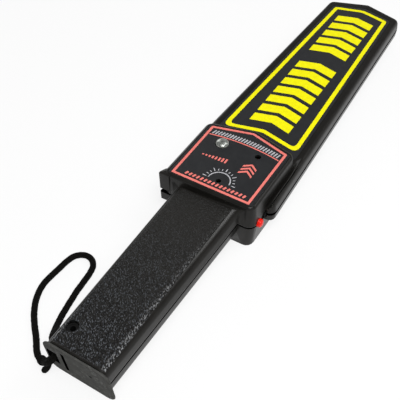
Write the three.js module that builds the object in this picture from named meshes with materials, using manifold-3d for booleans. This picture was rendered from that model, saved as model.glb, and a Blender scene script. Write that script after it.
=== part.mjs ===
// Hand-held security metal detector wand, in millimetres, +Z up.
// Places along the wand are measured from the butt, and the finished assembly is then centred on
// its own length. The wand lies flat on the bottom of its head box.
import * as THREE from 'three';
import { mergeVertices } from 'three/addons/utils/BufferGeometryUtils.js';
import Module from 'manifold-3d';

const wasm = await Module();
wasm.setup();

// Whole wand
const wandLength = 411;
const seamHeight = 19.5;
const seamGap = 0.3;
const seamGroove = 0.5;
const wallThickness = 2;
const fitClearance = 0.3;
const cutOverrun = 1;
const leastCornerRadius = 0.15;
const weldTolerance = 1e-4;
const cornerSteps = 4;
const filletSteps = 4;
const roundSides = 24;
const smallSides = 12;

// Grip
const gripStart = 0.7;
const gripEnd = 135;
const gripWidthButt = 42;
const gripWidthHead = 47.4;
const gripBottom = 9.5;
const gripTopRadius = 5.5;
const gripBottomRadius = 4.5;
const buttLeanShare = 0.06;

// Battery cap
const capThickness = 1.6;
const capSideLip = 2.2;
const capTopLip = 0.2;
const capBottom = 1.6;
const capCornerRadius = 6;
const capEdgeRadius = 0.6;
const capBackBevel = 0.6;
const capPlugDepth = 5;
const capPlugWall = 1.6;
const prySlotWidth = 2.4;
const prySlotLength = 19;
const prySlotRise = 1.3;
const prySlotOffset = 9.3;

// Lanyard
const cordDiameter = 4.2;
const cordStep = 9;
const cordSides = 10;
const eyeWidth = 7.4;
const eyeHeight = 12.4;
const eyeBar = 1.6;
const eyeMiddle = 17.5;
const notchDepth = 7.4;
const notchHeight = 5.6;
const notchMiddle = 15.2;
const knotRingRadius = 1.9;
const knotStrandRadius = 1.5;
const tailRadius = 1.9;
const loopRoute = [
  [-27, 7.9, 14], [-29, 10, 12.8], [-31, 12.5, 10.5], [-33.4, 15.8, 7.7], [-35.6, 19.2, 5.3],
  [-37.6, 23.1, 3.5], [-39.3, 27.9, 2.6], [-40.7, 33.8, 2.3], [-41.9, 40.4, 2.3], [-43.2, 48, 2.3],
  [-44, 56, 2.3], [-44.9, 63.2, 2.3], [-46.4, 68.3, 2.3], [-49.8, 72, 2.3], [-54.4, 73.4, 2.3],
  [-59, 72.1, 2.3], [-62.4, 68.5, 2.3], [-63.9, 63.4, 2.3], [-64.4, 57.5, 2.3], [-64.9, 51, 2.3],
  [-65.2, 42.1, 2.3], [-63.3, 34, 2.3], [-59.4, 26.3, 2.3], [-53.7, 18.9, 2.3], [-47.7, 12.9, 2.3],
  [-42, 7.6, 2.4], [-37.2, 2.5, 2.9], [-32.9, -0.9, 3.8],
];
const neckRoute = [
  [-26.2, 7.2, 14.3], [-23.4, 5.3, 14.9], [-20.6, 3.6, 15], [-18.9, 1.6, 14.8], [-18.8, -0.6, 14],
  [-20.3, -3, 11.8], [-22.8, -3.6, 9.3], [-25.4, -3.2, 7.3], [-28, -2.4, 5.5], [-31.7, -1.5, 4.1],
];
const tailRoute = [[-27.5, -2.8, 5.6], [-25.2, -3, 5.9], [-23.8, -3.5, 5.1], [-23.7, -4.9, 3.4], [-24.4, -6.9, 2.2]];

// Control head
const headWidth = 70;
const headSideLength = 60;
const headApexRise = 9;
const headTop = 38;
const headCornerRadius = 6;
const headTopFillet = 2.2;
const headBottomFillet = 1.2;
const headTopDraft = 0.7;
const headBottomDraft = 0.3;
const headSideTaper = 1.6;
const cornerLipRise = 1.8;
const cornerLipRun = 5.5;
const cornerLipFlat = 1.6;
const cornerLipFoot = 11.8;
const cornerLipGap = 2.4;
const cornerLipHeadroom = 1.5;

// Paddle and its side wings
const wingSetback = 17.5;
const paddleWidthRear = 81.4;
const paddleWidthTip = 65;
const paddleApexRise = 10.5;
const paddleTop = 27.8;
const paddleBottom = 12.5;
const paddleRearRadius = 5;
const paddleTipRadius = 6;
const paddleEdgeRun = 2.8;
const paddleEdgeRise = 3.6;
const paddleUnderRun = 1.4;
const paddleUnderRise = 1.8;
const paddleDraft = 0.4;
const valleyOffset = 0.8;
const valleyHalfWidth = 2.7;
const valleyDepth = 4.2;
const valleyLip = 0.15;
const valleyRamp = 14;
const valleyAcross = 8;
const valleyAlong = 6;
const passageWidth = 48;

// Labels
const labelThickness = 0.4;
const labelRecess = 0.5;
const labelChevronRise = 8;
const paddleLabelInset = 6.6;
const paddleLabelRearGap = 1.6;
const paddleLabelRadius = 4;
const controlLabelInset = 3.4;
const controlLabelRadius = 1;

// Lamps, trimmer and socket; places on the head are shares of its half width and of its side
const lampDiameter = 9.6;
const lampRise = 2.6;
const lampFlange = 11.4;
const lampShare = new THREE.Vector2(-0.4, 0.743);
const lampDomeShare = 0.5;
const powerLampDiameter = 3;
const powerLampFlange = 4;
const powerLampHeightShare = 0.42;
const powerHoleDiameter = 4.4;
const powerLampShare = new THREE.Vector2(0.386, 0.753);
const trimmerHoleDiameter = 3.6;
const trimmerShare = new THREE.Vector2(0.057, 0.208);
const trimmerBodySize = 6.6;
const trimmerHeightShare = 0.386;
const trimmerRotorDiameter = 4.6;
const trimmerRotorHeight = 1.6;
const trimmerSlotShare = 0.7;
const leadDiameter = 0.6;
const socketDiameter = 7.4;
const socketBore = 3.6;
const socketDepth = 11;
const socketRecess = 2.4;
const socketInset = 7.7;
const socketFromButt = 14.2;

// Circuit board
const boardThickness = 1.6;
const boardAboveSeam = 3.2;
const boardRearGap = 6;
const boardFrontGap = 2;
const postRadius = 2.2;
const postSideShare = 0.55;
const postAlongShares = [0.3, 0.883];

// Side controls
const pushButtonDiameter = 6;
const controlSpacing = 9;
const pushButtonRise = 2.8;
const pushTravel = 1.5;
const switchSetback = 17.6;
const switchTravel = 2.5;
const switchKnobLength = 3.6;
const switchKnobHeight = 3;
const switchRidgePitch = 1.125;
const switchRidgeRadius = 0.4;
const switchStemHeight = 1.8;
const switchPocketDepth = 1.4;
const switchPocketHeight = 6;
const switchBodyDepth = 6;
const switchBodyHeight = 5.6;
const pushBodySize = 6;

// Electronics on the board; heights are shares of the room above it
const chipWidth = 7;
const chipLength = 10;
const chipHeightShare = 0.263;
const chipShare = new THREE.Vector2(-0.114, 0.467);
const reservoirDiameter = 8;
const reservoirHeightShare = 0.825;
const reservoirShare = new THREE.Vector2(0.6, 0.583);
const smallCapDiameter = 5;
const smallCapHeightShare = 0.614;
const smallCapShares = [new THREE.Vector2(-0.571, 0.433), new THREE.Vector2(0.314, 0.308)];
const coilCanSize = 8;
const coilCanHeightShare = 0.79;
const coilCanShare = new THREE.Vector2(0.229, 0.533);

// Loudspeaker and vibration motor
const speakerShare = new THREE.Vector2(0.086, 0.567);
const speakerDiameter = 30;
const speakerHeight = 6;
const speakerRimHeight = 1.6;
const speakerWall = 1.2;
const magnetDiameter = 15;
const magnetHeight = 3.4;
const magnetPost = 2.4;
const coneDiameter = 24;
const coneHeight = 3;
const coneWall = 0.6;
const grilleSlotWidth = 1.8;
const grilleSlotPitch = 3.8;
const grilleSlotCount = 6;
const grilleDiameter = 24;
const motorDiameter = 8;
const motorLength = 16;
const motorShaftDiameter = 1.5;
const motorShaftLength = 6;
const motorWeightRadius = 3.4;
const motorWeightLength = 3.6;
const motorShare = new THREE.Vector2(-0.657, 0.383);
const cradleHeight = 5;
const cradleWall = 1.4;

// Battery
const batteryLength = 46;
const batteryWidth = 26.2;
const batteryHeight = 17.2;
const batteryEdgeRadius = 2.5;
const batteryPlace = 22;
const batterySideGap = 2.3;
const batteryClearance = 0.45;
const terminalSpacing = 12.7;
const terminalDiameter = 5.4;
const terminalHeight = 2.5;
const contactBlockThickness = 2.4;
const contactThickness = 0.6;

// Search coil
const formerEndGap = 15;
const formerSideGap = 8;
const formerBase = 1.4;
const formerRimHeight = 5.6;
const formerRimWidth = 1.6;
const formerCornerRadius = 14;
const windingWidth = 3.2;
const windingHeight = 4;
const innerCoilInset = 7;

// Case screws
const screwShankDiameter = 2.6;
const screwHeadDiameter = 5.4;
const screwHeadHeight = 1.8;
const screwLength = 12;
const screwBossRadius = 3;
const driverSlotWidth = 0.9;
const driverSlotShare = 0.62;
const driverSlotDepth = 0.8;
const screwHeadCover = 1.6;
const headScrewDepth = 9;

// Sizes that follow from those above
const headRear = gripEnd;
const headHalf = headWidth / 2;
const headShoulder = headRear + headSideLength;
const wingStart = headRear + wingSetback;
const gripTop = gripBottom + batteryHeight + 2 * (wallThickness + batteryClearance);
const upperSeam = seamHeight + seamGap / 2;
const lowerSeam = seamHeight - seamGap / 2;
const paddleTipShoulder = wandLength - paddleApexRise;
const boardHeight = seamHeight + boardAboveSeam;
const boardTop = boardHeight + boardThickness;
const seatedOnBoard = boardTop + fitClearance;
const headCeiling = headTop - wallThickness;
const roomAboveBoard = headCeiling - seatedOnBoard;
const gripMiddle = (gripTop + gripBottom) / 2;
const capBack = gripStart - fitClearance;
const capFace = capBack - capThickness;
const capWidth = gripWidthButt + 2 * capSideLip;
const capTop = gripTop + capTopLip;
const cordRadius = cordDiameter / 2;
const switchPlace = headRear + switchSetback;
const pushButtonPlace = switchPlace - controlSpacing;

function onHead(share) {
  return new THREE.Vector2(share.x * headHalf, headRear + share.y * headSideLength);
}
const lampPlace = onHead(lampShare);
const powerLampPlace = onHead(powerLampShare);
const trimmerPlace = onHead(trimmerShare);
const speakerPlace = onHead(speakerShare);
const motorPlace = onHead(motorShare);

const wand = new THREE.Group();
wand.name = 'metal_detector_wand';
wand.position.set(0, -(wandLength + capFace - capThickness / 3) / 2, 0);

// A closed three.js geometry becomes a solid that can be joined and cut.
function solidOf(geometry) {
  const bare = geometry.clone();
  bare.deleteAttribute('normal');
  bare.deleteAttribute('uv');
  const welded = mergeVertices(bare, weldTolerance);
  return new wasm.Manifold(new wasm.Mesh({
    numProp: 3,
    vertProperties: new Float32Array(welded.attributes.position.array),
    triVerts: new Uint32Array(welded.index.array),
  }));
}

function geometryOf(solid) {
  const mesh = solid.getMesh();
  const geometry = new THREE.BufferGeometry();
  geometry.setAttribute('position', new THREE.BufferAttribute(new Float32Array(mesh.vertProperties), 3));
  geometry.setIndex(new THREE.BufferAttribute(new Uint32Array(mesh.triVerts), 1));
  const faceted = geometry.toNonIndexed();
  faceted.computeVertexNormals();
  return faceted;
}

function piece(name, solid, material) {
  const mesh = new THREE.Mesh(geometryOf(solid), material);
  mesh.name = name;
  wand.add(mesh);
  return mesh;
}

// A convex or chevron-ended outline with rounded corners, moved inwards by inset.
function roundedOutline(corners, radii, inset = 0) {
  const points = [];
  corners.forEach((corner, index) => {
    const before = corners[(index + corners.length - 1) % corners.length];
    const after = corners[(index + 1) % corners.length];
    const into = corner.clone().sub(before).normalize();
    const out = after.clone().sub(corner).normalize();
    const turn = Math.atan2(into.cross(out), into.dot(out));
    const side = Math.sign(turn) || 1;
    const normalIn = new THREE.Vector2(-into.y, into.x);
    const normalOut = new THREE.Vector2(-out.y, out.x);
    const shift = normalIn.clone().add(normalOut).multiplyScalar(inset / (1 + normalIn.dot(normalOut)));
    const moved = corner.clone().add(shift);
    const radius = Math.max((radii[index] ?? radii[0]) - side * inset, leastCornerRadius);
    const start = moved.clone().addScaledVector(into, -radius * Math.tan(Math.abs(turn) / 2));
    const centre = start.clone().addScaledVector(normalIn, radius * side);
    const spoke = start.clone().sub(centre);
    for (let step = 0; step <= cornerSteps; step += 1) {
      const turned = spoke.clone().rotateAround(new THREE.Vector2(), turn * step / cornerSteps);
      points.push(centre.clone().add(turned));
    }
  });
  return points;
}

// Rings of equal point counts are skinned, and each end is closed by a fan from its middle.
function loft(rings) {
  const count = rings[0].length;
  const positions = [];
  const faces = [];
  rings.forEach((ring) => ring.forEach((point) => positions.push(point.x, point.y, point.z)));
  for (let ring = 0; ring + 1 < rings.length; ring += 1) {
    for (let step = 0; step < count; step += 1) {
      const next = (step + 1) % count;
      const a = ring * count + step;
      const b = ring * count + next;
      faces.push(a, b, b + count, a, b + count, a + count);
    }
  }
  [0, rings.length - 1].forEach((ring) => {
    const middle = rings[ring].reduce((sum, point) => sum.add(point), new THREE.Vector3());
    middle.divideScalar(count);
    const hub = positions.length / 3;
    positions.push(middle.x, middle.y, middle.z);
    for (let step = 0; step < count; step += 1) {
      const a = ring * count + step;
      const b = ring * count + (step + 1) % count;
      faces.push(...(ring === 0 ? [hub, b, a] : [hub, a, b]));
    }
  });
  const geometry = new THREE.BufferGeometry();
  geometry.setAttribute('position', new THREE.Float32BufferAttribute(positions, 3));
  geometry.setIndex(faces);
  if (signedVolume(geometry) < 0) {
    for (let face = 0; face < faces.length; face += 3) {
      [faces[face], faces[face + 1]] = [faces[face + 1], faces[face]];
    }
    geometry.setIndex(faces);
  }
  return solidOf(geometry);
}

function signedVolume(geometry) {
  const place = geometry.attributes.position;
  const corners = [new THREE.Vector3(), new THREE.Vector3(), new THREE.Vector3()];
  let sum = 0;
  for (let face = 0; face < geometry.index.count; face += 3) {
    corners.forEach((corner, side) => corner.fromBufferAttribute(place, geometry.index.getX(face + side)));
    sum += corners[0].dot(corners[1].cross(corners[2]));
  }
  return sum;
}

// Levels are inset, height and side taper, from the lowest to the highest.
function moulded(cornersAt, radii, levels) {
  return loft(levels.map(([inset, height, taper = 0]) => roundedOutline(cornersAt(taper), radii, inset)
    .map((point) => new THREE.Vector3(point.x, point.y, height))));
}

// Inset and height pairs of a quarter ellipse that rolls over from a wall to a flat face.
function rollOver(inset, height, run, rise) {
  return Array.from({ length: filletSteps }, (_, step) => {
    const angle = (step + 1) / filletSteps * Math.PI / 2;
    return [inset + run * (1 - Math.cos(angle)), height + rise * Math.sin(angle)];
  });
}

function plate(outline, bottom, thickness) {
  const settings = { depth: thickness, bevelEnabled: false };
  const geometry = new THREE.ExtrudeGeometry(new THREE.Shape(outline), settings);
  geometry.translate(0, 0, bottom);
  return solidOf(geometry);
}

function block(x, y, z, width, length, height) {
  const geometry = new THREE.BoxGeometry(width, length, height);
  geometry.translate(x, y, z);
  return solidOf(geometry);
}

// An upright cylinder from bottom to top.
function upright(x, y, bottom, top, radius, sides = smallSides, topRadius = radius) {
  const geometry = new THREE.CylinderGeometry(topRadius, radius, top - bottom, sides);
  geometry.rotateX(Math.PI / 2);
  geometry.translate(x, y, (bottom + top) / 2);
  return solidOf(geometry);
}

// A cylinder along the wand, from one y to another.
function lengthwise(x, z, start, end, radius, sides = smallSides) {
  const geometry = new THREE.CylinderGeometry(radius, radius, end - start, sides);
  geometry.translate(x, (start + end) / 2, z);
  return solidOf(geometry);
}

// A cylinder across the wand, from one x to another.
function crosswise(y, z, start, end, radius, sides = smallSides) {
  const geometry = new THREE.CylinderGeometry(radius, radius, end - start, sides);
  geometry.rotateZ(-Math.PI / 2);
  geometry.translate((start + end) / 2, y, z);
  return solidOf(geometry);
}

function revolved(x, y, profile, sides) {
  const points = profile.map(([radius, height]) => new THREE.Vector2(radius, height));
  const geometry = new THREE.LatheGeometry(points, sides);
  geometry.rotateX(Math.PI / 2);
  geometry.translate(x, y, 0);
  return solidOf(geometry);
}

function joined(...solids) {
  return solids.reduce((sum, solid) => sum.add(solid));
}

function cut(solid, ...tools) {
  return tools.reduce((left, tool) => left.subtract(tool), solid);
}

function plastic(colour, roughness) {
  return new THREE.MeshStandardMaterial({ color: colour, roughness, metalness: 0 });
}

function metal(colour, roughness) {
  return new THREE.MeshStandardMaterial({ color: colour, roughness, metalness: 1 });
}

const housingPlastic = plastic(0x2c2b28, 0.42);
const capPlastic = plastic(0x4a4a48, 0.5);
const labelFilm = plastic(0x2e2e32, 0.5);
const redPlastic = plastic(0xf02a1e, 0.35);
const blackPlastic = plastic(0x141414, 0.4);
const clearPlastic = plastic(0xd8dcd8, 0.08);
const cordFabric = plastic(0x16160f, 0.9);
const boardLaminate = plastic(0x1f5a34, 0.5);
const formerPlastic = plastic(0xd9d6c8, 0.6);
const copperWire = metal(0xb8693a, 0.35);
const tinnedSteel = metal(0xb5b7ba, 0.3);
const screwSteel = metal(0x8d8f92, 0.35);
const magnetSteel = metal(0x77797c, 0.4);
const conePaper = plastic(0x3a3733, 0.9);
const batteryJacket = plastic(0x30343c, 0.4);
const springBrass = metal(0xc8a24a, 0.3);

// Outlines, all with counter-clockwise corners
function headCornersAt(taper) {
  const half = headHalf - taper;
  return [
    new THREE.Vector2(-half, headRear),
    new THREE.Vector2(half, headRear),
    new THREE.Vector2(half, headShoulder),
    new THREE.Vector2(0, headShoulder + headApexRise),
    new THREE.Vector2(-half, headShoulder),
  ];
}
const headCorners = headCornersAt(0);
const headRadii = Array(headCorners.length).fill(headCornerRadius);

function paddleHalfWidth(y) {
  const share = (y - wingStart) / (paddleTipShoulder - wingStart);
  return (paddleWidthRear + (paddleWidthTip - paddleWidthRear) * share) / 2;
}

function paddleCorners(start) {
  return [
    new THREE.Vector2(-paddleHalfWidth(start), start),
    new THREE.Vector2(paddleHalfWidth(start), start),
    new THREE.Vector2(paddleHalfWidth(paddleTipShoulder), paddleTipShoulder),
    new THREE.Vector2(0, wandLength),
    new THREE.Vector2(-paddleHalfWidth(paddleTipShoulder), paddleTipShoulder),
  ];
}
const paddleRadii = [paddleRearRadius, paddleRearRadius, paddleTipRadius, paddleTipRadius, paddleTipRadius];

function gripHalfWidth(y) {
  return (gripWidthButt + (gripWidthHead - gripWidthButt) * y / gripEnd) / 2;
}

// How far the slightly slanted butt stands forward at one height.
function lean(height) {
  return (gripMiddle - height) * buttLeanShare;
}

// Inset and height pairs of the shallow groove along the parting line, on the outside of the walls only.
const seamLevels = [
  [0, lowerSeam - seamGroove], [seamGroove, lowerSeam],
  [seamGroove, upperSeam], [0, upperSeam + seamGroove],
];

function seamAt(inset) {
  return inset === 0 ? seamLevels : [[inset, lowerSeam], [inset, upperSeam]];
}

// The grip's section at one place along it, as a ring of points in the XZ plane.
function gripSection(y, inset, slanted = false) {
  const half = gripHalfWidth(y);
  const corners = [
    new THREE.Vector2(-half, gripBottom),
    new THREE.Vector2(half, gripBottom),
    new THREE.Vector2(half, gripTop),
    new THREE.Vector2(-half, gripTop),
  ];
  const ring = roundedOutline(corners, [gripBottomRadius, gripBottomRadius, gripTopRadius, gripTopRadius], inset);
  if (inset === 0) {
    const groove = seamLevels.map(([depth, height]) => new THREE.Vector2(half - depth, height));
    const mirrored = groove.map((point) => new THREE.Vector2(-point.x, point.y)).reverse();
    ring.splice(ring.length / 2, 0, ...groove);
    ring.push(...mirrored);
  }
  return ring.map((point) => new THREE.Vector3(point.x, y + (slanted ? lean(point.y) : 0), point.y));
}

function gripBar(start, end, inset) {
  return loft([gripSection(start, inset, true), gripSection(end, inset)]);
}

function headBlock(inset) {
  const bottomRun = headBottomFillet - Math.min(inset, headBottomFillet - leastCornerRadius);
  const topRun = headTopFillet - Math.min(inset, headTopFillet - leastCornerRadius);
  const under = rollOver(headBottomDraft + inset, bottomRun + inset, bottomRun, -bottomRun).reverse();
  const over = rollOver(headTopDraft + inset, headTop - inset - topRun, topRun, topRun);
  return moulded(headCornersAt, headRadii, [
    ...[...under, [headBottomDraft + inset, bottomRun + inset]].map((level) => [...level, headSideTaper]),
    ...seamAt(inset),
    [headTopDraft + inset, headTop - inset - topRun],
    ...over,
  ]);
}

function paddleBlock(start, inset) {
  const lowerRise = Math.max(paddleUnderRise, inset + leastCornerRadius);
  const under = rollOver(paddleDraft + inset, paddleBottom + lowerRise, paddleUnderRun, inset - lowerRise);
  const over = rollOver(paddleDraft + inset, paddleTop - paddleEdgeRise, paddleEdgeRun, paddleEdgeRise - inset);
  return moulded(() => paddleCorners(start), paddleRadii, [
    ...under.reverse(),
    [paddleDraft + inset, paddleBottom + lowerRise],
    ...seamAt(inset),
    [paddleDraft + inset, paddleTop - paddleEdgeRise],
    ...over,
  ]);
}

// The valley between the head's side and a wing: a soft trough with a bell-shaped section, which
// runs out at the wing's rear end and rises to the paddle's top in front.
function wingValley(side) {
  const middle = side * (headHalf + valleyOffset);
  const start = wingStart - cutOverrun;
  const places = [start];
  for (let step = 0; step <= valleyAlong; step += 1) {
    places.push(headShoulder + valleyRamp * (2 * step / valleyAlong - 1));
  }
  return loft(places.map((y, index) => {
    const run = Math.max(index - 1, 0) / valleyAlong;
    const depth = (valleyDepth + valleyLip) * (1 + Math.cos(Math.PI * run)) / 2;
    const ring = [];
    for (let step = 0; step <= valleyAcross; step += 1) {
      const across = 2 * step / valleyAcross - 1;
      const bell = (1 + Math.cos(Math.PI * across)) / 2;
      ring.push(new THREE.Vector3(middle + across * valleyHalfWidth, y, paddleTop + valleyLip - depth * bell));
    }
    ring.push(
      new THREE.Vector3(middle + valleyHalfWidth, y, paddleTop + cutOverrun),
      new THREE.Vector3(middle - valleyHalfWidth, y, paddleTop + cutOverrun),
    );
    return ring;
  }));
}

// The low upright lip on the head's left wall at its rear corner, which stops short at the parting line
function cornerLip(bottom, top) {
  const wall = -headHalf + headCornerRadius;
  const outline = [
    new THREE.Vector2(wall, headRear),
    new THREE.Vector2(wall, headRear + headCornerRadius + cornerLipRun),
    new THREE.Vector2(-headHalf, headRear + cornerLipRun),
    new THREE.Vector2(-headHalf - cornerLipRise, headRear + cornerLipFlat),
    new THREE.Vector2(-headHalf - cornerLipRise, headRear),
  ];
  return plate(outline, bottom, top - bottom);
}

// Cavity
const paddleCavityStart = headShoulder + headApexRise + wallThickness;
function housingCavity() {
  const passageBottom = paddleBottom + wallThickness;
  const passageTop = paddleTop - valleyDepth - wallThickness;
  const passageStart = headShoulder - headCornerRadius;
  const passageEnd = paddleCavityStart + 2 * paddleEdgeRun;
  return joined(
    headBlock(wallThickness),
    paddleBlock(paddleCavityStart, wallThickness),
    gripBar(gripStart - cutOverrun, headRear + wallThickness + cutOverrun, wallThickness),
    block(
      0, (passageStart + passageEnd) / 2, (passageBottom + passageTop) / 2,
      passageWidth, passageEnd - passageStart, passageTop - passageBottom,
    ),
  );
}

// Label outlines
const paddleLabelStart = headShoulder + headApexRise + paddleLabelRearGap;
function paddleLabelOutline(inset) {
  const rear = paddleHalfWidth(paddleLabelStart) - paddleLabelInset;
  const front = paddleTipShoulder - paddleLabelInset + paddleDraft;
  const tip = paddleHalfWidth(front) - paddleLabelInset;
  const chevron = headApexRise / headHalf;
  const corners = [
    new THREE.Vector2(-rear, paddleLabelStart - chevron * rear),
    new THREE.Vector2(0, paddleLabelStart),
    new THREE.Vector2(rear, paddleLabelStart - chevron * rear),
    new THREE.Vector2(tip, front),
    new THREE.Vector2(0, front + labelChevronRise),
    new THREE.Vector2(-tip, front),
  ];
  const radii = [paddleLabelRadius, leastCornerRadius, paddleLabelRadius];
  radii.push(paddleLabelRadius, paddleLabelRadius, paddleLabelRadius);
  return roundedOutline(corners, radii, inset);
}

function controlLabelOutline(inset) {
  const radii = Array(headCorners.length).fill(controlLabelRadius + controlLabelInset);
  return roundedOutline(headCorners, radii, inset + controlLabelInset);
}

// Case screws: head underside heights and places
const paddleScrewRear = paddleCavityStart + paddleRearRadius + screwBossRadius + wallThickness;
const paddleScrewFront = paddleTipShoulder - paddleEdgeRun - screwBossRadius - 2 * wallThickness;
const gripScrewPlace = batteryPlace + batteryLength + terminalHeight + 5 * screwBossRadius;
const headScrewPlace = headRear + headCornerRadius + screwBossRadius;
const paddleScrewSeat = paddleBottom + screwHeadCover;
const screwPlaces = [
  { name: 'screw_tip_left', x: -paddleWidthTip / 4, y: paddleScrewFront, seat: paddleScrewSeat },
  { name: 'screw_tip_right', x: paddleWidthTip / 4, y: paddleScrewFront, seat: paddleScrewSeat },
  { name: 'screw_paddle_left', x: -paddleWidthRear / 3, y: paddleScrewRear, seat: paddleScrewSeat },
  { name: 'screw_paddle_right', x: paddleWidthRear / 3, y: paddleScrewRear, seat: paddleScrewSeat },
  { name: 'screw_head_left', x: -headWidth / 5, y: headScrewPlace, seat: headScrewDepth },
  { name: 'screw_head_right', x: headWidth / 5, y: headScrewPlace, seat: headScrewDepth },
  { name: 'screw_grip', x: 0, y: gripScrewPlace, seat: gripBottom + screwHeadCover },
];

function bossCeiling(place) {
  if (place.y < headRear) return gripTop - wallThickness;
  return place.y < headShoulder ? headCeiling : paddleTop - wallThickness;
}

function bossFloor(place) {
  if (place.y < headRear) return gripBottom + wallThickness;
  return place.y < headShoulder ? wallThickness : paddleBottom + wallThickness;
}

function screwBossUpper(place) {
  return upright(place.x, place.y, upperSeam, bossCeiling(place) + wallThickness / 2, screwBossRadius);
}

function screwBossLower(place) {
  const wide = screwHeadDiameter / 2 + fitClearance + wallThickness / 2;
  const stem = upright(place.x, place.y, bossFloor(place) - wallThickness / 2, lowerSeam, screwBossRadius);
  const shoulder = place.seat + wallThickness;
  return shoulder > bossFloor(place)
    ? joined(stem, upright(place.x, place.y, bossFloor(place) - wallThickness / 2, shoulder, wide))
    : stem;
}

function screwHoles(place) {
  const head = screwHeadDiameter / 2 + fitClearance;
  const shank = screwShankDiameter / 2 + fitClearance;
  const seat = place.seat + screwHeadHeight;
  return joined(
    upright(place.x, place.y, -cutOverrun, seat, head),
    upright(place.x, place.y, seat - cutOverrun, place.seat + screwLength + fitClearance, shank),
  );
}

function caseScrew(place) {
  const headTopFace = place.seat + screwHeadHeight - fitClearance;
  const head = upright(place.x, place.y, place.seat - fitClearance, headTopFace, screwHeadDiameter / 2);
  const shankTop = place.seat + screwLength;
  const shank = upright(place.x, place.y, headTopFace - fitClearance, shankTop, screwShankDiameter / 2);
  const slots = [0, Math.PI / 2].map((turn) => {
    const length = screwHeadDiameter * driverSlotShare;
    const slot = new THREE.BoxGeometry(length, driverSlotWidth, 2 * driverSlotDepth);
    slot.rotateZ(turn);
    slot.translate(place.x, place.y, place.seat - fitClearance);
    return solidOf(slot);
  });
  return cut(joined(head, shank), ...slots);
}

// Board posts
const postPlaces = [-1, 1].flatMap((side) => postAlongShares.map((along) => (
  onHead(new THREE.Vector2(side * postSideShare, along)))));

// Openings in the head's right side for the two controls
const switchSlotLength = switchKnobLength + 2 * switchTravel + 2 * fitClearance;
const switchPocketLength = switchSlotLength + switchPocketHeight - switchStemHeight;
function stadiumCut(centre, length, height, start, end) {
  const half = (length - height) / 2;
  return joined(
    crosswise(centre - half, seamHeight, start, end, height / 2),
    crosswise(centre + half, seamHeight, start, end, height / 2),
    block((start + end) / 2, centre, seamHeight, end - start, 2 * half, height),
  );
}

function sideCuts() {
  return joined(
    crosswise(
      pushButtonPlace, seamHeight, headHalf - 2 * wallThickness, headHalf + cutOverrun,
      pushButtonDiameter / 2 + fitClearance, roundSides,
    ),
    stadiumCut(
      switchPlace, switchPocketLength, switchPocketHeight,
      headHalf - switchPocketDepth, headHalf + cutOverrun,
    ),
    stadiumCut(
      switchPlace, switchSlotLength, switchStemHeight + 2 * fitClearance,
      headHalf - 2 * wallThickness, headHalf + cutOverrun,
    ),
  );
}

// The butt end's notch that lets the lanyard leave sideways
const eyeMiddleX = (eyeWidth - capWidth) / 2 + eyeBar;
function lanyardNotch() {
  return block(-gripWidthButt / 2, gripStart, notchMiddle, 2 * eyeWidth, 2 * notchDepth, notchHeight);
}

const socketPlace = new THREE.Vector2(socketInset - gripHalfWidth(socketFromButt), socketFromButt);
function socketCuts() {
  const radius = socketDiameter / 2 + fitClearance;
  const bottom = gripTop - 2 * wallThickness;
  return upright(socketPlace.x, socketPlace.y, bottom, gripTop + cutOverrun, radius, roundSides);
}

function lampCuts() {
  const top = headTop + cutOverrun;
  const bottom = headCeiling - cutOverrun;
  return joined(
    upright(lampPlace.x, lampPlace.y, bottom, top, lampDiameter / 2 + fitClearance, roundSides),
    upright(powerLampPlace.x, powerLampPlace.y, bottom, top, powerHoleDiameter / 2),
    upright(trimmerPlace.x, trimmerPlace.y, bottom, top, trimmerHoleDiameter / 2),
  );
}

// Housing shells
const shellBody = (() => {
  const paddle = cut(paddleBlock(wingStart, 0), wingValley(-1), wingValley(1));
  const outer = joined(
    paddle, headBlock(0), gripBar(gripStart, headRear + wallThickness, 0),
    cornerLip(cornerLipFoot, lowerSeam), cornerLip(upperSeam + cornerLipGap, headTop - cornerLipHeadroom),
  );
  const recesses = [
    plate(paddleLabelOutline(-fitClearance), paddleTop - labelRecess, labelRecess + cutOverrun),
    plate(controlLabelOutline(-fitClearance), headTop - labelRecess, labelRecess + cutOverrun),
  ];
  return cut(outer, housingCavity(), ...recesses);
})();

function halfSpace(above) {
  const reach = 2 * wandLength;
  const z = above ? upperSeam + reach / 2 : lowerSeam - reach / 2;
  return block(0, 0, z, 2 * reach, 2 * reach, reach);
}

function upperHousing() {
  const posts = postPlaces.map(({ x, y }) => (
    upright(x, y, seatedOnBoard, headCeiling + wallThickness / 2, postRadius)));
  const shell = joined(shellBody.intersect(halfSpace(true)), ...screwPlaces.map(screwBossUpper), ...posts);
  return cut(shell, ...screwPlaces.map(screwHoles), sideCuts(), socketCuts(), lampCuts());
}

function speakerRing() {
  const { x, y } = speakerPlace;
  const outer = speakerDiameter / 2 + fitClearance + speakerWall;
  const top = wallThickness + speakerRimHeight + speakerWall;
  const ring = upright(x, y, wallThickness / 2, top, outer, roundSides);
  const bore = upright(x, y, wallThickness, headTop, outer - speakerWall, roundSides);
  return cut(ring, bore);
}

function speakerGrille() {
  const span = (grilleSlotCount - 1) * grilleSlotPitch;
  return Array.from({ length: grilleSlotCount }, (_, index) => {
    const offset = index * grilleSlotPitch - span / 2;
    const length = 2 * Math.sqrt((grilleDiameter / 2) ** 2 - offset ** 2);
    return block(
      speakerPlace.x + offset, speakerPlace.y, wallThickness / 2,
      grilleSlotWidth, length, wallThickness + 2 * cutOverrun,
    );
  });
}

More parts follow.
